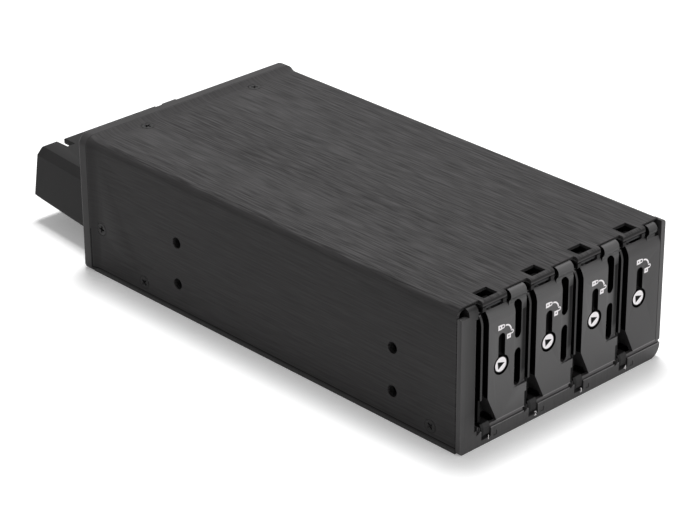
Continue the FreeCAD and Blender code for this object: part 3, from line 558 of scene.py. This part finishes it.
panel_finish = painted("panel_paint", 0.040, 0.45, gloss=0.08)
base_finish = painted("base_paint", 0.020, 0.42)
tray_finish = painted("tray_paint", 0.012, 0.45, gloss=0.1)
black_screw = painted("screw_black", 0.018, 0.34, gloss=0.12)
heat_finish = brushed("heat_plate_finish", "Y", 0.016, 0.034, 0.40, 0.010)
pin_steel = bare_metal("pin_steel", (0.030, 0.030, 0.031), 0.40, turned=(300, 2600, 2600))
shell_steel = bare_metal("shell_steel", (0.56, 0.56, 0.57), 0.30)
spring_steel = bare_metal("spring_steel", (0.040, 0.040, 0.043), 0.34)
lock_plate = bare_metal("lock_plate", (0.030, 0.030, 0.030), 0.30)
contact_gold = bare_metal("contact_gold", (0.80, 0.58, 0.24), 0.24)
white_ink = ink("white_ink", 0.80)
black_ink = ink("black_ink", 0.003, gloss=0.05)
pipe_finish = patterned("pipe_acrylic", (1800, 300, 1800), grey(0.028), grey(0.040), 0.3, 0.2, 0,
                        Specular_IOR_Level=0.35)
pad_finish = patterned("pad_rubber", [700] * 3, (0.20, 0.23, 0.27, 1), (0.27, 0.30, 0.34, 1),
                       0.75, 0.1, 0.05 * mm)
print("finishes so far", len(bpy.data.materials))

# %% [markdown]
# The board is a green laminate. Its copper tracks lie under the solder mask and show as faint
# ridges in rows, which a brick texture draws when its joints are made narrow.

# %% Laminate
track_scale = 260


def laminate(name):
    """Solder mask over copper: smooth green-black with slightly raised tracks."""
    finish = Finish(name)
    upright = finish.node(
        "ShaderNodeMapping", None,
        {"Vector": finish.place(), "Rotation": (math.radians(90), 0, 0), "Scale": [track_scale] * 3},
    )
    tracks = finish.node(
        "ShaderNodeTexBrick", {"offset": 0.37, "squash": 1.6, "squash_frequency": 3},
        {"Vector": upright, "Scale": 1.0, "Mortar Size": 0.06, "Brick Width": 2.4, "Row Height": 0.35},
        output="Fac",
    )
    cloud = finish.noise([120, 120, 120], detail=2.0)
    finish.set(
        Base_Color=finish.tint(tracks, (0.006, 0.030, 0.016, 1), (0.012, 0.055, 0.030, 1)),
        Roughness=cloud * 0.1 + 0.28,
        Normal=finish.bump(tracks, 0.02 * mm),
    )
    return finish.material


board_finish = laminate("board_laminate")
print("finishes", len(bpy.data.materials))

# %% [markdown]
# Copies of CAD pieces and new small details need the same few steps: a mesh becomes an object,
# gets its finish and rides on a body. Boxes are the commonest detail, and a Boolean cuts one
# mesh from another.

# %% Mesh helpers
sharp_angle = math.radians(32)
flat_enough = math.radians(1.0)
same_spot = 0.001 * mm


def loose_object(mesh, name):
    """Makes a plain object from a bmesh."""
    data = bpy.data.meshes.new(name)
    mesh.to_mesh(data)
    mesh.free()
    made = bpy.data.objects.new(name, data)
    bpy.context.collection.objects.link(made)
    return made


def place_piece(mesh, name, body, finish):
    """Makes an object from a bmesh, smooth between sharp edges, and lets it ride on a body."""
    piece = loose_object(mesh, name)
    for face in piece.data.polygons:
        face.use_smooth = True
    piece.data.set_sharp_from_angle(angle=sharp_angle)
    piece.data.materials.append(finish)
    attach(piece, body)
    return piece


def round_edges(piece, width, segments=2):
    """Narrow rounding along every sharp edge."""
    bevel = piece.modifiers.new("rounded edges", "BEVEL")
    bevel.width = width
    bevel.segments = segments
    bevel.limit_method = "ANGLE"
    bevel.angle_limit = sharp_angle
    bevel.use_clamp_overlap = True
    bevel.harden_normals = True
    return piece


def cut(piece, cutter):
    """Cuts one mesh object from another for good."""
    modifier = piece.modifiers.new("cut", "BOOLEAN")
    modifier.operation = "DIFFERENCE"
    modifier.solver = "EXACT"
    modifier.use_self = True
    modifier.object = cutter
    bpy.context.view_layer.update()
    evaluated = piece.evaluated_get(bpy.context.evaluated_depsgraph_get())
    result = bpy.data.meshes.new_from_object(evaluated)
    piece.modifiers.clear()
    piece.data = result
    bpy.data.objects.remove(cutter)


def taken_back(piece):
    """The mesh of an object as a bmesh; the object goes."""
    mesh = bmesh.new()
    mesh.from_mesh(piece.data)
    bpy.data.objects.remove(piece)
    return mesh


def add_part(mesh, part):
    """Adds one bmesh to another and frees it."""
    holder = bpy.data.meshes.new("part")
    part.to_mesh(holder)
    part.free()
    mesh.from_mesh(holder)
    bpy.data.meshes.remove(holder)


def bevel_edges(mesh, edges, width, segments, clamp=False):
    bmesh.ops.bevel(mesh, geom=edges, offset=width, offset_type="OFFSET", segments=segments,
                    profile=0.5, affect="EDGES", material=-1, clamp_overlap=clamp)


def add_block(mesh, low, high, edge=0.0):
    """Box between two corners, its edges cut back by a small bevel."""
    part = bmesh.new()
    bmesh.ops.create_cube(part, size=1.0)
    bmesh.ops.scale(part, verts=part.verts, vec=high - low)
    bmesh.ops.translate(part, verts=part.verts, vec=(low + high) / 2)
    if edge:
        bevel_edges(part, part.edges[:], edge, 1)
    add_part(mesh, part)


def corners_of(node):
    """Lowest and highest corner of a CAD node's box."""
    low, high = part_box(node)
    return Vector(low), Vector(high)


def cad_copy(node, merged_faces=True):
    """Copy of a CAD node's mesh with its points joined and its flat faces whole again."""
    mesh = bmesh.new()
    mesh.from_mesh(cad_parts[node].data)
    bmesh.ops.remove_doubles(mesh, verts=mesh.verts, dist=same_spot)
    if merged_faces:
        bmesh.ops.dissolve_limit(mesh, angle_limit=flat_enough, verts=mesh.verts, edges=mesh.edges,
                                 use_dissolve_boundaries=False)
    return mesh


print("mesh helpers ready")

# %% [markdown]
# Two copies are reshaped on the way. The hood is a drawn plastic part with wide corners at its
# rear edge. The fourth lever is cut back on its right, because the real bezel ends there in a
# narrow post.

# %% Reshaped copies
hood_rounding = 1.6 * mm
corner_steps = 5
hair = 0.1 * mm
post_gap = 11.85 * mm
knuckle_end = 10.4 * mm


def trim_wide_lever(mesh):
    """Cuts the fourth lever back on its right, so that the bezel's narrow post fits beside it."""
    body = loose_object(mesh, "wide_lever")
    left = lever_left(4)
    for start, low in ((post_gap, 0.0), (knuckle_end, neck_start)):
        cutter = bmesh.new()
        add_block(cutter, Vector((left + start, front_y - 5 * mm, low)),
                  Vector((left + 20 * mm, front_y + 20 * mm, 50 * mm)))
        cut(body, loose_object(cutter, "cutter"))
    return taken_back(body)


def round_hood_corners(mesh):
    """Wide rounding where the hood's rear edge meets its top and its bottom."""
    rear = max(vertex.co.y for vertex in mesh.verts) - hair
    chosen = []
    for edge in mesh.edges:
        first, second = (vertex.co for vertex in edge.verts)
        level = abs(first.z - second.z) < 0.1 * hair
        wide = abs(first.x - second.x) > 3 * hair
        if level and wide and first.y > rear and second.y > rear:
            chosen.append(edge)
    bevel_edges(mesh, chosen, hood_rounding, corner_steps, clamp=True)
    return mesh


reshape = {"rear_cowl": round_hood_corners, "lever_4": trim_wide_lever}
print("reshaped", list(reshape))

# %% [markdown]
# Every real edge is a little rounded, and those slivers catch the light as thin bright lines,
# which make black parts readable. The CAD solids have sharp edges, so each visible one is
# copied, its triangles are merged back into flat faces, and a narrow Bevel modifier rounds the
# copy's edges. The copy then stands for the CAD piece.

# %% Soft-edged copies


def soft_copy(node, body, finish, width):
    """Copy of a CAD node with merged faces and rounded edges, which stands for the node."""
    mesh = cad_copy(node)
    if node in reshape:
        mesh = reshape[node](mesh)
    piece = place_piece(mesh, node + "_skin", body, finish)
    round_edges(piece, width)
    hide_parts(node)
    return piece


skins = [
    soft_copy("top_cover", "cage", cover_finish, 0.10 * mm),
    soft_copy("base_tray", "cage", base_finish, 0.10 * mm),
    soft_copy("front_bezel", "cage", bezel_finish, 0.12 * mm),
    soft_copy("rear_panel", "cage", panel_finish, 0.12 * mm),
    soft_copy("rear_cowl", "cage", cowl_finish, 0.25 * mm),
]
bay_skins = (
    ("lever", "lever_body", lever_finish, 0.14 * mm, "lever_plastic"),
    ("lever_catch", "catch_body", catch_finish, 0.10 * mm, "catch_plastic"),
    ("tray", "tray_body", tray_finish, 0.10 * mm, "tray_metal"),
    ("heat_plate", "tray_body", heat_finish, 0.10 * mm, "heat_aluminium"),
)
for bay in bays:
    for node, body, finish, width, slot in bay_skins:
        skins.append(soft_copy(f"{node}_{bay}", f"{body}_{bay}", finish, width))
for skin in skins:
    print(skin.name, len(skin.data.polygons), "faces")

# %% [markdown]
# The bezel frames the doors with a broad post on the left and a narrow one on the right. The
# narrow one is a bar with small bevels, and its outer top corner is rounded like the cover. The
# copy of the fourth lever was cut back above to leave room for it.

# %% Narrow post
post_start = 12.0 * mm
post_top = 38.3 * mm
post_depth = 3.0 * mm
post_rounding = 1.1 * mm
sill_top = 4.7 * mm


def make_narrow_post():
    mesh = bmesh.new()
    right_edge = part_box("front_bezel")[1][0]
    add_block(mesh, Vector((lever_left(4) + post_start, front_y, sill_top)),
              Vector((right_edge, front_y + post_depth, post_top)))
    outer = []
    for edge in mesh.edges:
        if all(end.co.z > post_top - hair and end.co.x > right_edge - hair for end in edge.verts):
            outer.append(edge)
    bevel_edges(mesh, outer, post_rounding, corner_steps)
    post = round_edges(place_piece(mesh, "narrow_post", "cage", bezel_finish), 0.12 * mm)
    return post


print(make_narrow_post().name, "between the fourth lever and the right edge")

# %% [markdown]
# Some CAD pieces are right as they are and only need a finish: pins, guides, pads, sockets, the
# board and the light pipes. Assigning to the object's material slot is enough.

# %% Finishes for CAD pieces that stay
kept = {
    "upper_guide": guide_finish,
    "lower_guide": guide_finish,
    "light_pipes": pipe_finish,
    "backplane_board": board_finish,
    "power_socket": socket_finish,
}
for bay in bays:
    kept[f"hinge_pin_{bay}"] = pin_steel
    kept[f"thermal_pad_{bay}"] = pad_finish
    kept[f"edge_socket_{bay}"] = socket_finish
    kept[f"data_socket_{bay}"] = shell_steel
for node, finish in kept.items():
    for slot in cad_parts[node].material_slots:
        slot.material = finish
print("kept nodes", len(kept))

# %% [markdown]
# Under each catch sits a bent leaf spring. It hangs from the catch and rests on the floor of its
# cradle, so it gets shorter as the catch goes down. A copy of the spring rides on the catch and
# keeps its shape.


def make_spring(bay):
    node = f"catch_spring_{bay}"
    low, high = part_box(node)
    mesh = cad_copy(node, merged_faces=False)
    spring = place_piece(mesh, node + "_leaf", f"catch_body_{bay}", spring_steel)
    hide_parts(node)
    height = high[2] - low[2]
    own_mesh(spring)
    return height


for bay in bays:
    print("spring", bay, round(make_spring(bay) / mm, 2), "mm high")

# %% [markdown]
# A countersunk screw's head is a shallow cone that ends flush with the sheet. The driver's cross
# is a recess with four blades that narrow towards the bottom. The head is made by spinning a
# half section about the screw's axis, and the cross is cut with a Boolean from a tapered cross.

# %% Screw model
screw_head = 1.72 * mm
screw_cone = 0.8 * mm
screw_shank = 0.9 * mm
head_edge = 0.06 * mm
blade_half = 0.26 * mm
blade_reach = 1.05 * mm
blade_taper = (0.45, 0.7)
cross_rise = 0.1 * mm
cross_depth = 0.75 * mm


def spun(points, steps):
    """Solid of revolution about Z from (radius, height) points that start and end on the axis."""
    mesh = bmesh.new()
    corners = [mesh.verts.new((radius, 0, height)) for radius, height in points]
    edges = [mesh.edges.new(pair) for pair in zip(corners, corners[1:])]
    bmesh.ops.spin(mesh, geom=corners + edges, cent=(0, 0, 0), axis=(0, 0, 1), dvec=(0, 0, 0),
                   angle=math.tau, steps=steps, use_merge=True, use_normal_flip=False,
                   use_duplicate=False)
    bmesh.ops.remove_doubles(mesh, verts=mesh.verts, dist=same_spot)
    bmesh.ops.recalc_face_normals(mesh, faces=mesh.faces)
    return mesh


def cross_cutter():
    """Two tapered blades, pointing down from just above the head."""
    mesh = bmesh.new()
    for turn in (0, 90):
        made = bmesh.ops.create_cube(mesh, size=1.0)["verts"]
        for corner in made:
            top = corner.co.z > 0
            reach = blade_reach if top else blade_reach * blade_taper[0]
            half = blade_half if top else blade_half * blade_taper[1]
            height = cross_rise if top else -cross_depth
            corner.co = Vector((math.copysign(reach, corner.co.x), math.copysign(half, corner.co.y),
                                height))
        bmesh.ops.rotate(mesh, verts=made, cent=(0, 0, 0),
                         matrix=Matrix.Rotation(math.radians(turn), 3, "Z"))
    return mesh


def flush_screw_points(length):
    return [(0, 0), (screw_head - head_edge, 0), (screw_head, -head_edge),
            (screw_shank, -screw_cone), (screw_shank, -length), (0, -length)]


def pan_screw_points(length, height):
    return [(0, height), (screw_head * 0.55, height * 0.94), (screw_head * 0.85, height * 0.72),
            (screw_head, height * 0.3), (screw_head, 0), (screw_shank, 0), (screw_shank, -length),
            (0, -length)]


print("screw sections ready")

# %% [markdown]
# Ten screws are in sight: three on each side, two on top and two that hold the hood. Where they
# sit is read from the CAD solids, and each is turned by a random angle, as a hand would leave it.

# %% Screws in place
side_screw_length = 3.0 * mm
short_screw_length = 2.4 * mm
cap_height = 1.0 * mm


def solid_boxes(node):
    """Lowest and highest corner of each separate solid in a CAD node."""
    mesh = cad_copy(node, merged_faces=False)
    waiting = set(mesh.verts)
    found = []
    while waiting:
        group = [waiting.pop()]
        for vertex in group:
            for edge in vertex.link_edges:
                other = edge.other_vert(vertex)
                if other in waiting:
                    waiting.discard(other)
                    group.append(other)
        spots = [vertex.co for vertex in group]
        found.append((Vector(min(spot[k] for spot in spots) for k in range(3)),
                      Vector(max(spot[k] for spot in spots) for k in range(3))))
    mesh.free()
    return sorted(found, key=lambda pair: tuple(pair[0]))


def set_screws(node, points, axis, cap=0.0):
    """One screw for each solid of a node, its head facing out along the axis, the cap proud."""
    model = loose_object(spun(points, 32), node + "_model")
    cut(model, loose_object(cross_cutter(), "cross"))
    mesh = bmesh.new()
    for low, high in solid_boxes(node):
        middle = (low + high) / 2
        outward = axis * math.copysign(1, middle.dot(axis))
        face = middle + outward * ((high - low).dot(axis) / 2 - cap)
        turn = outward.to_track_quat("Z", "Y").to_matrix().to_4x4()
        spin = Matrix.Rotation(random.uniform(0, math.pi / 2), 4, "Z")
        part = bmesh.new()
        part.from_mesh(model.data)
        part.transform(Matrix.Translation(face) @ turn @ spin)
        add_part(mesh, part)
    bpy.data.objects.remove(model)
    piece = place_piece(mesh, node + "_detailed", "cage", black_screw)
    round_edges(piece, 0.05 * mm, 1)
    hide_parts(node)
    print(piece.name, len(piece.data.polygons), "faces")


random.seed(11)
set_screws("side_screws", flush_screw_points(side_screw_length), Vector((1, 0, 0)))
set_screws("top_screws", flush_screw_points(short_screw_length), Vector((0, 0, 1)))
set_screws("cowl_screws", pan_screw_points(short_screw_length, cap_height), Vector((0, 1, 0)), cap_height)

# %% [markdown]
# The lock's face is a disc printed white inside a dark rim, with a black triangle that shows
# which way it is turned. A shallow dish is cut into a copy of the CAD lock, and two thin printed
# plates lie in it. All three ride on the lock's body, so they turn with it.

# %% Locks
lock_radius = 2.05 * mm
lock_rim = 0.10 * mm
lock_dish = 0.06 * mm
ink_thickness = 0.02 * mm
arrow_tip = 1.30 * mm
arrow_back = 0.98 * mm
arrow_half = 1.0 * mm
arrow_turn = math.radians(-7)


def thicken(mesh):
    """Gives flat marks the thickness of ink, towards the front."""
    pushed = bmesh.ops.extrude_face_region(mesh, geom=mesh.faces[:])
    moved = [item for item in pushed["geom"] if isinstance(item, bmesh.types.BMVert)]
    bmesh.ops.translate(mesh, verts=moved, vec=(0, -ink_thickness, 0))
    bmesh.ops.recalc_face_normals(mesh, faces=mesh.faces)


def flat_shape(points):
    """Film of ink from (x, z) points, facing the front, its back on y = 0."""
    mesh = bmesh.new()
    mesh.faces.new([mesh.verts.new((x, 0, z)) for x, z in points])
    thicken(mesh)
    return mesh


def dished_core(bay, centre):
    """Copy of the CAD lock with a shallow dish in its face."""
    body = loose_object(cad_copy(f"lock_core_{bay}"), "lock_body")
    inner = lock_radius - 0.5 * lock_rim
    hollow = spun([(0, -lock_dish), (lock_radius - 2 * lock_rim, -lock_dish), (inner, 0.5 * lock_dish),
                   (inner, lock_dish), (0, lock_dish)], 48)
    hollow.transform(Matrix.Translation(centre) @ Matrix.Rotation(math.radians(90), 4, "X"))
    cut(body, loose_object(hollow, "hollow"))
    return taken_back(body)


def make_lock(bay):
    """Dished core, white disc and black arrow of one lock."""
    low, high = corners_of(f"lock_core_{bay}")
    centre = Vector(((low.x + high.x) / 2, low.y, (low.z + high.z) / 2))
    plate = place_piece(dished_core(bay, centre), f"lock_plate_{bay}", f"lock_body_{bay}", lock_plate)
    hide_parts(f"lock_core_{bay}")

    turns = [math.tau * k / 40 for k in range(40)]
    radius = lock_radius - 1.6 * lock_rim
    face = flat_shape([(radius * math.cos(turn), radius * math.sin(turn)) for turn in turns])
    face.transform(Matrix.Translation(centre + Vector((0, lock_dish, 0))))
    white = place_piece(face, f"lock_face_{bay}", f"lock_body_{bay}", white_ink)

    arrow = flat_shape([(-arrow_back, -arrow_half), (arrow_tip, 0), (-arrow_back, arrow_half)])
    place = Matrix.Translation(centre + Vector((0, lock_dish - 1.5 * ink_thickness, 0)))
    arrow.transform(place @ Matrix.Rotation(arrow_turn, 4, "Y"))
    mark = place_piece(arrow, f"lock_arrow_{bay}", f"lock_body_{bay}", black_ink)
    return centre


for bay in bays:
    print("lock", bay, [round(part / mm, 2) for part in make_lock(bay)])

# %% [markdown]
# Two printed padlocks and an arc beside each lock say which way is locked and which is open.
# Printed ink is a film on the surface, so each mark is a flat shape a fiftieth of a millimetre
# thick, laid on the lever's front face. The arc is spun and the rest is made of strips.

# %% Lock marks
print_lift = 0.01 * mm
padlock_half = 0.66 * mm
keyhole_half = 0.20 * mm
shackle_band = 0.30 * mm
shackle_radius = 0.56 * mm
shackle_arm = 0.42 * mm
open_lift = 0.85 * mm
shut_place = (3.82 * mm, 29.70 * mm)
open_place = (6.87 * mm, 26.48 * mm)
arc_place = (5.75 * mm, 27.85 * mm)
arc_radii = (1.65 * mm, 2.05 * mm)
arc_angles = (6, 92)


def add_arc(mesh, centre, inner, outer, start, end, steps):
    """Flat arc band in the XZ plane, spun from one angle in degrees to another."""
    way = Vector((math.cos(math.radians(start)), 0, math.sin(math.radians(start))))
    ends = [mesh.verts.new(centre + way * inner), mesh.verts.new(centre + way * outer)]
    bar = mesh.edges.new(ends)
    bmesh.ops.spin(mesh, geom=ends + [bar], cent=centre, axis=(0, -1, 0), dvec=(0, 0, 0),
                   angle=math.radians(end - start), steps=steps, use_merge=False,
                   use_normal_flip=False, use_duplicate=False)


def add_strip(mesh, x0, x1, z0, z1):
    """Flat rectangle in the XZ plane."""
    mesh.faces.new([mesh.verts.new((x, 0, z)) for x, z in ((x0, z0), (x1, z0), (x1, z1), (x0, z1))])


def add_padlock(mesh, x, z, lift):
    """Padlock on its side: a square body with a keyhole and a shackle to its right."""
    half = padlock_half
    hole = keyhole_half
    add_strip(mesh, x - half, x - hole, z - half, z + half)
    add_strip(mesh, x + hole, x + half, z - half, z + half)
    add_strip(mesh, x - hole, x + hole, z - half, z - hole)
    add_strip(mesh, x - hole, x + hole, z + hole, z + half)
    turn_x = x + half + shackle_arm
    turn_z = z + lift
    inner = shackle_radius - shackle_band
    add_arc(mesh, Vector((turn_x, 0, turn_z)), inner, shackle_radius, -90, 90, 12)
    add_strip(mesh, x + half, turn_x, turn_z - shackle_radius, turn_z - inner)
    add_strip(mesh, x + half, turn_x, turn_z + inner, turn_z + shackle_radius)


def lay_print(mesh, surface_y):
    """Turns flat marks into ink on a surface that faces the front."""
    bmesh.ops.recalc_face_normals(mesh, faces=mesh.faces)
    for face in mesh.faces:
        if face.normal.y > 0:
            face.normal_flip()
    thicken(mesh)
    bmesh.ops.translate(mesh, verts=mesh.verts, vec=(0, surface_y - print_lift, 0))


def make_lock_marks(bay):
    left = lever_left(bay)
    mesh = bmesh.new()
    add_padlock(mesh, left + shut_place[0], shut_place[1], 0)
    add_arc(mesh, Vector((left + arc_place[0], 0, arc_place[1])), *arc_radii, *arc_angles, 14)
    add_padlock(mesh, left + open_place[0], open_place[1], open_lift)
    lay_print(mesh, front_y)
    marks = place_piece(mesh, f"lock_marks_{bay}", f"lever_body_{bay}", white_ink)
    return marks


print("marks of ink", round(ink_thickness / mm, 3), "mm thick")

# %% [markdown]
# A plain number on the sill says which bay is which. It comes from a text curve turned into a
# mesh. The catch beside it is a moulding with a short skirt, which hides the opening in the sill
# and goes down with the catch.

# %% Bay numbers and catch skirts
number_size = 1.75 * mm
number_right = 0.55 * mm
number_height = 1.40 * mm
skirt_inset = 0.05 * mm
skirt_drop = 0.65 * mm
skirt_wall = 0.5 * mm


def make_number(bay):
    """Plain number of the bay, printed on the sill."""
    curve = bpy.data.curves.new(f"number_{bay}", "FONT")
    curve.body = str(bay)
    curve.size = number_size
    curve.align_x = "CENTER"
    curve.align_y = "CENTER"
    holder = bpy.data.objects.new("number_curve", curve)
    bpy.context.collection.objects.link(holder)
    bpy.context.view_layer.update()
    evaluated = holder.evaluated_get(bpy.context.evaluated_depsgraph_get())
    data = bpy.data.meshes.new_from_object(evaluated)
    bpy.data.objects.remove(holder)
    mesh = bmesh.new()
    mesh.from_mesh(data)
    mesh.transform(Matrix.Rotation(math.radians(90), 4, "X"))
    mesh.transform(Matrix.Translation((lever_left(bay) + number_right, 0, number_height)))
    lay_print(mesh, front_y)
    number = place_piece(mesh, f"number_{bay}", "cage", white_ink)
    return number


def make_apron(bay):
    """Short skirt under a catch's front, which closes the opening that the catch slides in."""
    low, high = corners_of(f"lever_catch_{bay}")
    mesh = bmesh.new()
    add_block(mesh, Vector((low.x + skirt_inset, low.y + skirt_inset, low.z - skirt_drop)),
              Vector((high.x - skirt_inset, low.y + skirt_wall, low.z + skirt_inset)), skirt_inset)
    apron = place_piece(mesh, f"catch_apron_{bay}", f"catch_body_{bay}", catch_finish)
    return apron


for bay in bays:
    print(make_lock_marks(bay).name, make_number(bay).name, make_apron(bay).name)

# %% [markdown]
# Behind the trays a circuit board carries a tall socket for each module. Gold contacts line both
# sides of every slot, made as rows of small boxes. They show when a tray is pulled out or when
# one looks in through the hood.

# %% Socket contacts
finger_pitch = 0.5 * mm
finger_height = 0.28 * mm
finger_wall = 0.12 * mm
finger_reach = (0.4 * mm, 4.6 * mm)
slot_half = 0.45 * mm
slot_margin = 2.2 * mm
tongue_margin = 2.4 * mm
tongue_half = 0.4 * mm
tongue_reach = (5.6 * mm, 1.5 * mm)
leaf_half = 0.16 * mm
leaf_wall = 0.1 * mm


def make_edge_contacts(bay):
    """Two rows of gold fingers inside a module socket."""
    low, high = corners_of(f"edge_socket_{bay}")
    mesh = bmesh.new()
    middle_x = (low.x + high.x) / 2
    near, far = finger_reach
    for side in (-1, 1):
        ends = (middle_x + side * slot_half, middle_x + side * (slot_half - finger_wall))
        z = low.z + slot_margin
        while z < high.z - slot_margin:
            add_block(mesh, Vector((min(ends), low.y + near, z)),
                      Vector((max(ends), low.y + far, z + finger_height)))
            z += finger_pitch
    contacts = place_piece(mesh, f"edge_contacts_{bay}", "cage", contact_gold)
    return contacts


def make_socket_contacts(node, count):
    """Gold contacts on both faces of the tongue in a rear socket."""
    low, high = corners_of(node)
    mesh = bmesh.new()
    room = (high.x - low.x) - 2 * tongue_margin
    tongue_top = (low.z + high.z) / 2 + tongue_half
    near, far = tongue_reach
    for k in range(count):
        x = low.x + tongue_margin + room * k / (count - 1)
        for bottom in (tongue_top, tongue_top - 2 * tongue_half - leaf_wall):
            add_block(mesh, Vector((x - leaf_half, high.y - near, bottom)),
                      Vector((x + leaf_half, high.y - far, bottom + leaf_wall)))
    contacts = place_piece(mesh, node + "_contacts", "cage", contact_gold)
    return contacts


for bay in bays:
    print(make_edge_contacts(bay).name, make_socket_contacts(f"data_socket_{bay}", 9).name)
print(make_socket_contacts("power_socket", 15).name)

# %% [markdown]
# Chips are flat dark blocks and capacitors small bright ones. On the board's front a column of
# them stands beside each socket, and on its rear they form one row along the top.

# %% Small parts on the board
solder_gap = 0.02 * mm
chip_edge = 0.08 * mm
cap_edge = 0.06 * mm
column_gap = 1.4 * mm
column_start = 5.5 * mm
column_pitch = 7.6 * mm
row_start = 6.0 * mm
row_pitch = 4.7 * mm
row_below_top = 3.2 * mm
row_stagger = 1.6 * mm


def stand(mesh, corner, size, edge):
    """Block with one corner at a point; a negative size reaches the other way."""
    other = corner + Vector(size) * mm
    low = Vector(min(pair) for pair in zip(corner, other))
    high = Vector(max(pair) for pair in zip(corner, other))
    add_block(mesh, low, high, edge)


def make_board_parts():
    """Chips and small capacitors on both faces of the board."""
    low, high = corners_of("backplane_board")
    chips = bmesh.new()
    caps = bmesh.new()
    front = low.y - solder_gap
    rear = high.y + solder_gap
    for bay in bays:
        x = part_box(f"edge_socket_{bay}")[1][0] + column_gap
        for step in range(4):
            z = low.z + column_start + column_pitch * step
            stand(chips, Vector((x, front, z)), (1.4, -0.68, 2.0), chip_edge)
            stand(caps, Vector((x + 0.2 * mm, front, z + 3.4 * mm)), (1.0, -0.58, 0.6), cap_edge)
    for step in range(12):
        x = low.x + row_start + row_pitch * step
        z = high.z - row_below_top - row_stagger * (step % 2)
        stand(caps, Vector((x, rear, z)), (1.6, 0.88, 0.8), cap_edge)
        stand(chips, Vector((x + 0.4 * mm, rear, z - 5.2 * mm)), (2.6, 0.98, 2.6), chip_edge)
    chip_piece = place_piece(chips, "board_chips", "cage", socket_finish)
    cap_piece = place_piece(caps, "board_capacitors", "cage", shell_steel)
    return chip_piece, cap_piece


print([piece.name for piece in make_board_parts()])

# %% [markdown]
# The picture has a white ground and a soft shadow close to the box. The lamps alone leave the
# dull white floor a light grey. It therefore adds a small share of its own light, seen only by
# the camera, in mirrors and through glass, and reads as white while the box's shadow still
# darkens it. The world does the same for the background above the floor.

# %% Floor and background
floor_half = 3.0
floor_gap = 0.05 * mm
floor_glow = 0.22
room_light = 0.30


def seen_directly(tree):
    """1 for a ray from the camera, off a mirror or through glass, and 0 for light on its way."""
    rays = tree.nodes.new("ShaderNodeLightPath")
    seen = Value(tree, rays.outputs["Is Camera Ray"])
    seen = seen.highest(Value(tree, rays.outputs["Is Glossy Ray"]))
    return seen.highest(Value(tree, rays.outputs["Is Transmission Ray"]))


def floor_finish():
    finish = Finish("floor_white")
    speck = finish.noise([40, 40, 40])
    finish.set(
        Base_Color=finish.tint(speck, (0.96, 0.96, 0.96, 1), (0.98, 0.98, 0.98, 1)),
        Roughness=0.9,
        Specular_IOR_Level=0.0,
    )
    strength = seen_directly(finish) * floor_glow
    glow = finish.node("ShaderNodeEmission", None, {"Color": (1, 1, 1, 1), "Strength": strength})
    total = finish.node("ShaderNodeAddShader", None,
                        {0: Value(finish, finish.shader.outputs[0]), 1: glow})
    finish.feed(finish.nodes["Material Output"].inputs["Surface"], total)
    return finish.material


def make_floor():
    mesh = bmesh.new()
    bmesh.ops.create_grid(mesh, x_segments=1, y_segments=1, size=floor_half)
    floor = loose_object(mesh, "floor")
    floor.location.z = cad_box[0][2] - floor_gap
    floor.data.materials.append(floor_finish())
    return floor


def make_world():
    world = bpy.data.worlds.new("studio")
    bpy.context.scene.world = world
    world.use_nodes = True
    tree = Tree(world.node_tree)
    level = tree.node("ShaderNodeMix", {"data_type": "FLOAT"},
                      {"Factor": seen_directly(tree), "A": room_light, "B": 1.0}, output="Result")
    background = tree.nodes["Background"]
    tree.feed(background.inputs["Color"], (1, 1, 1, 1))
    tree.feed(background.inputs["Strength"], level)


floor = make_floor()
make_world()
print("floor at", round(floor.location.z / mm, 3), "mm")

# %% [markdown]
# Black parts are lit by what they mirror, so the lamps are large soft panels. One hangs high
# above, a little to the right and behind, for the even sheen on the top and the shadow at the
# front. One stands low in front for the levers. The left side gets no lamp of its own, as in the
# photograph, where it is the darkest face.

# %% Lamps
top_watts = 9.8
front_watts = 4.0


def add_panel(name, place, target, width, height, watts):
    """Rectangular lamp that looks at a point."""
    data = bpy.data.lights.new(name, "AREA")
    data.shape = "RECTANGLE"
    data.size = width
    data.size_y = height
    data.energy = watts
    lamp = bpy.data.objects.new(name, data)
    bpy.context.collection.objects.link(lamp)
    lamp.location = place
    lamp.rotation_euler = (Vector(target) - Vector(place)).to_track_quat("-Z", "Y").to_euler()
    return lamp


add_panel("top_panel", (0.18, 0.18, 1.0), (0, 0, 0.02), 0.36, 0.36, top_watts)
add_panel("front_panel", (0.15, -1.0, 0.25), (0, -0.05, 0.02), 0.8, 0.5, front_watts)
bpy.context.scene.view_settings.view_transform = "Standard"
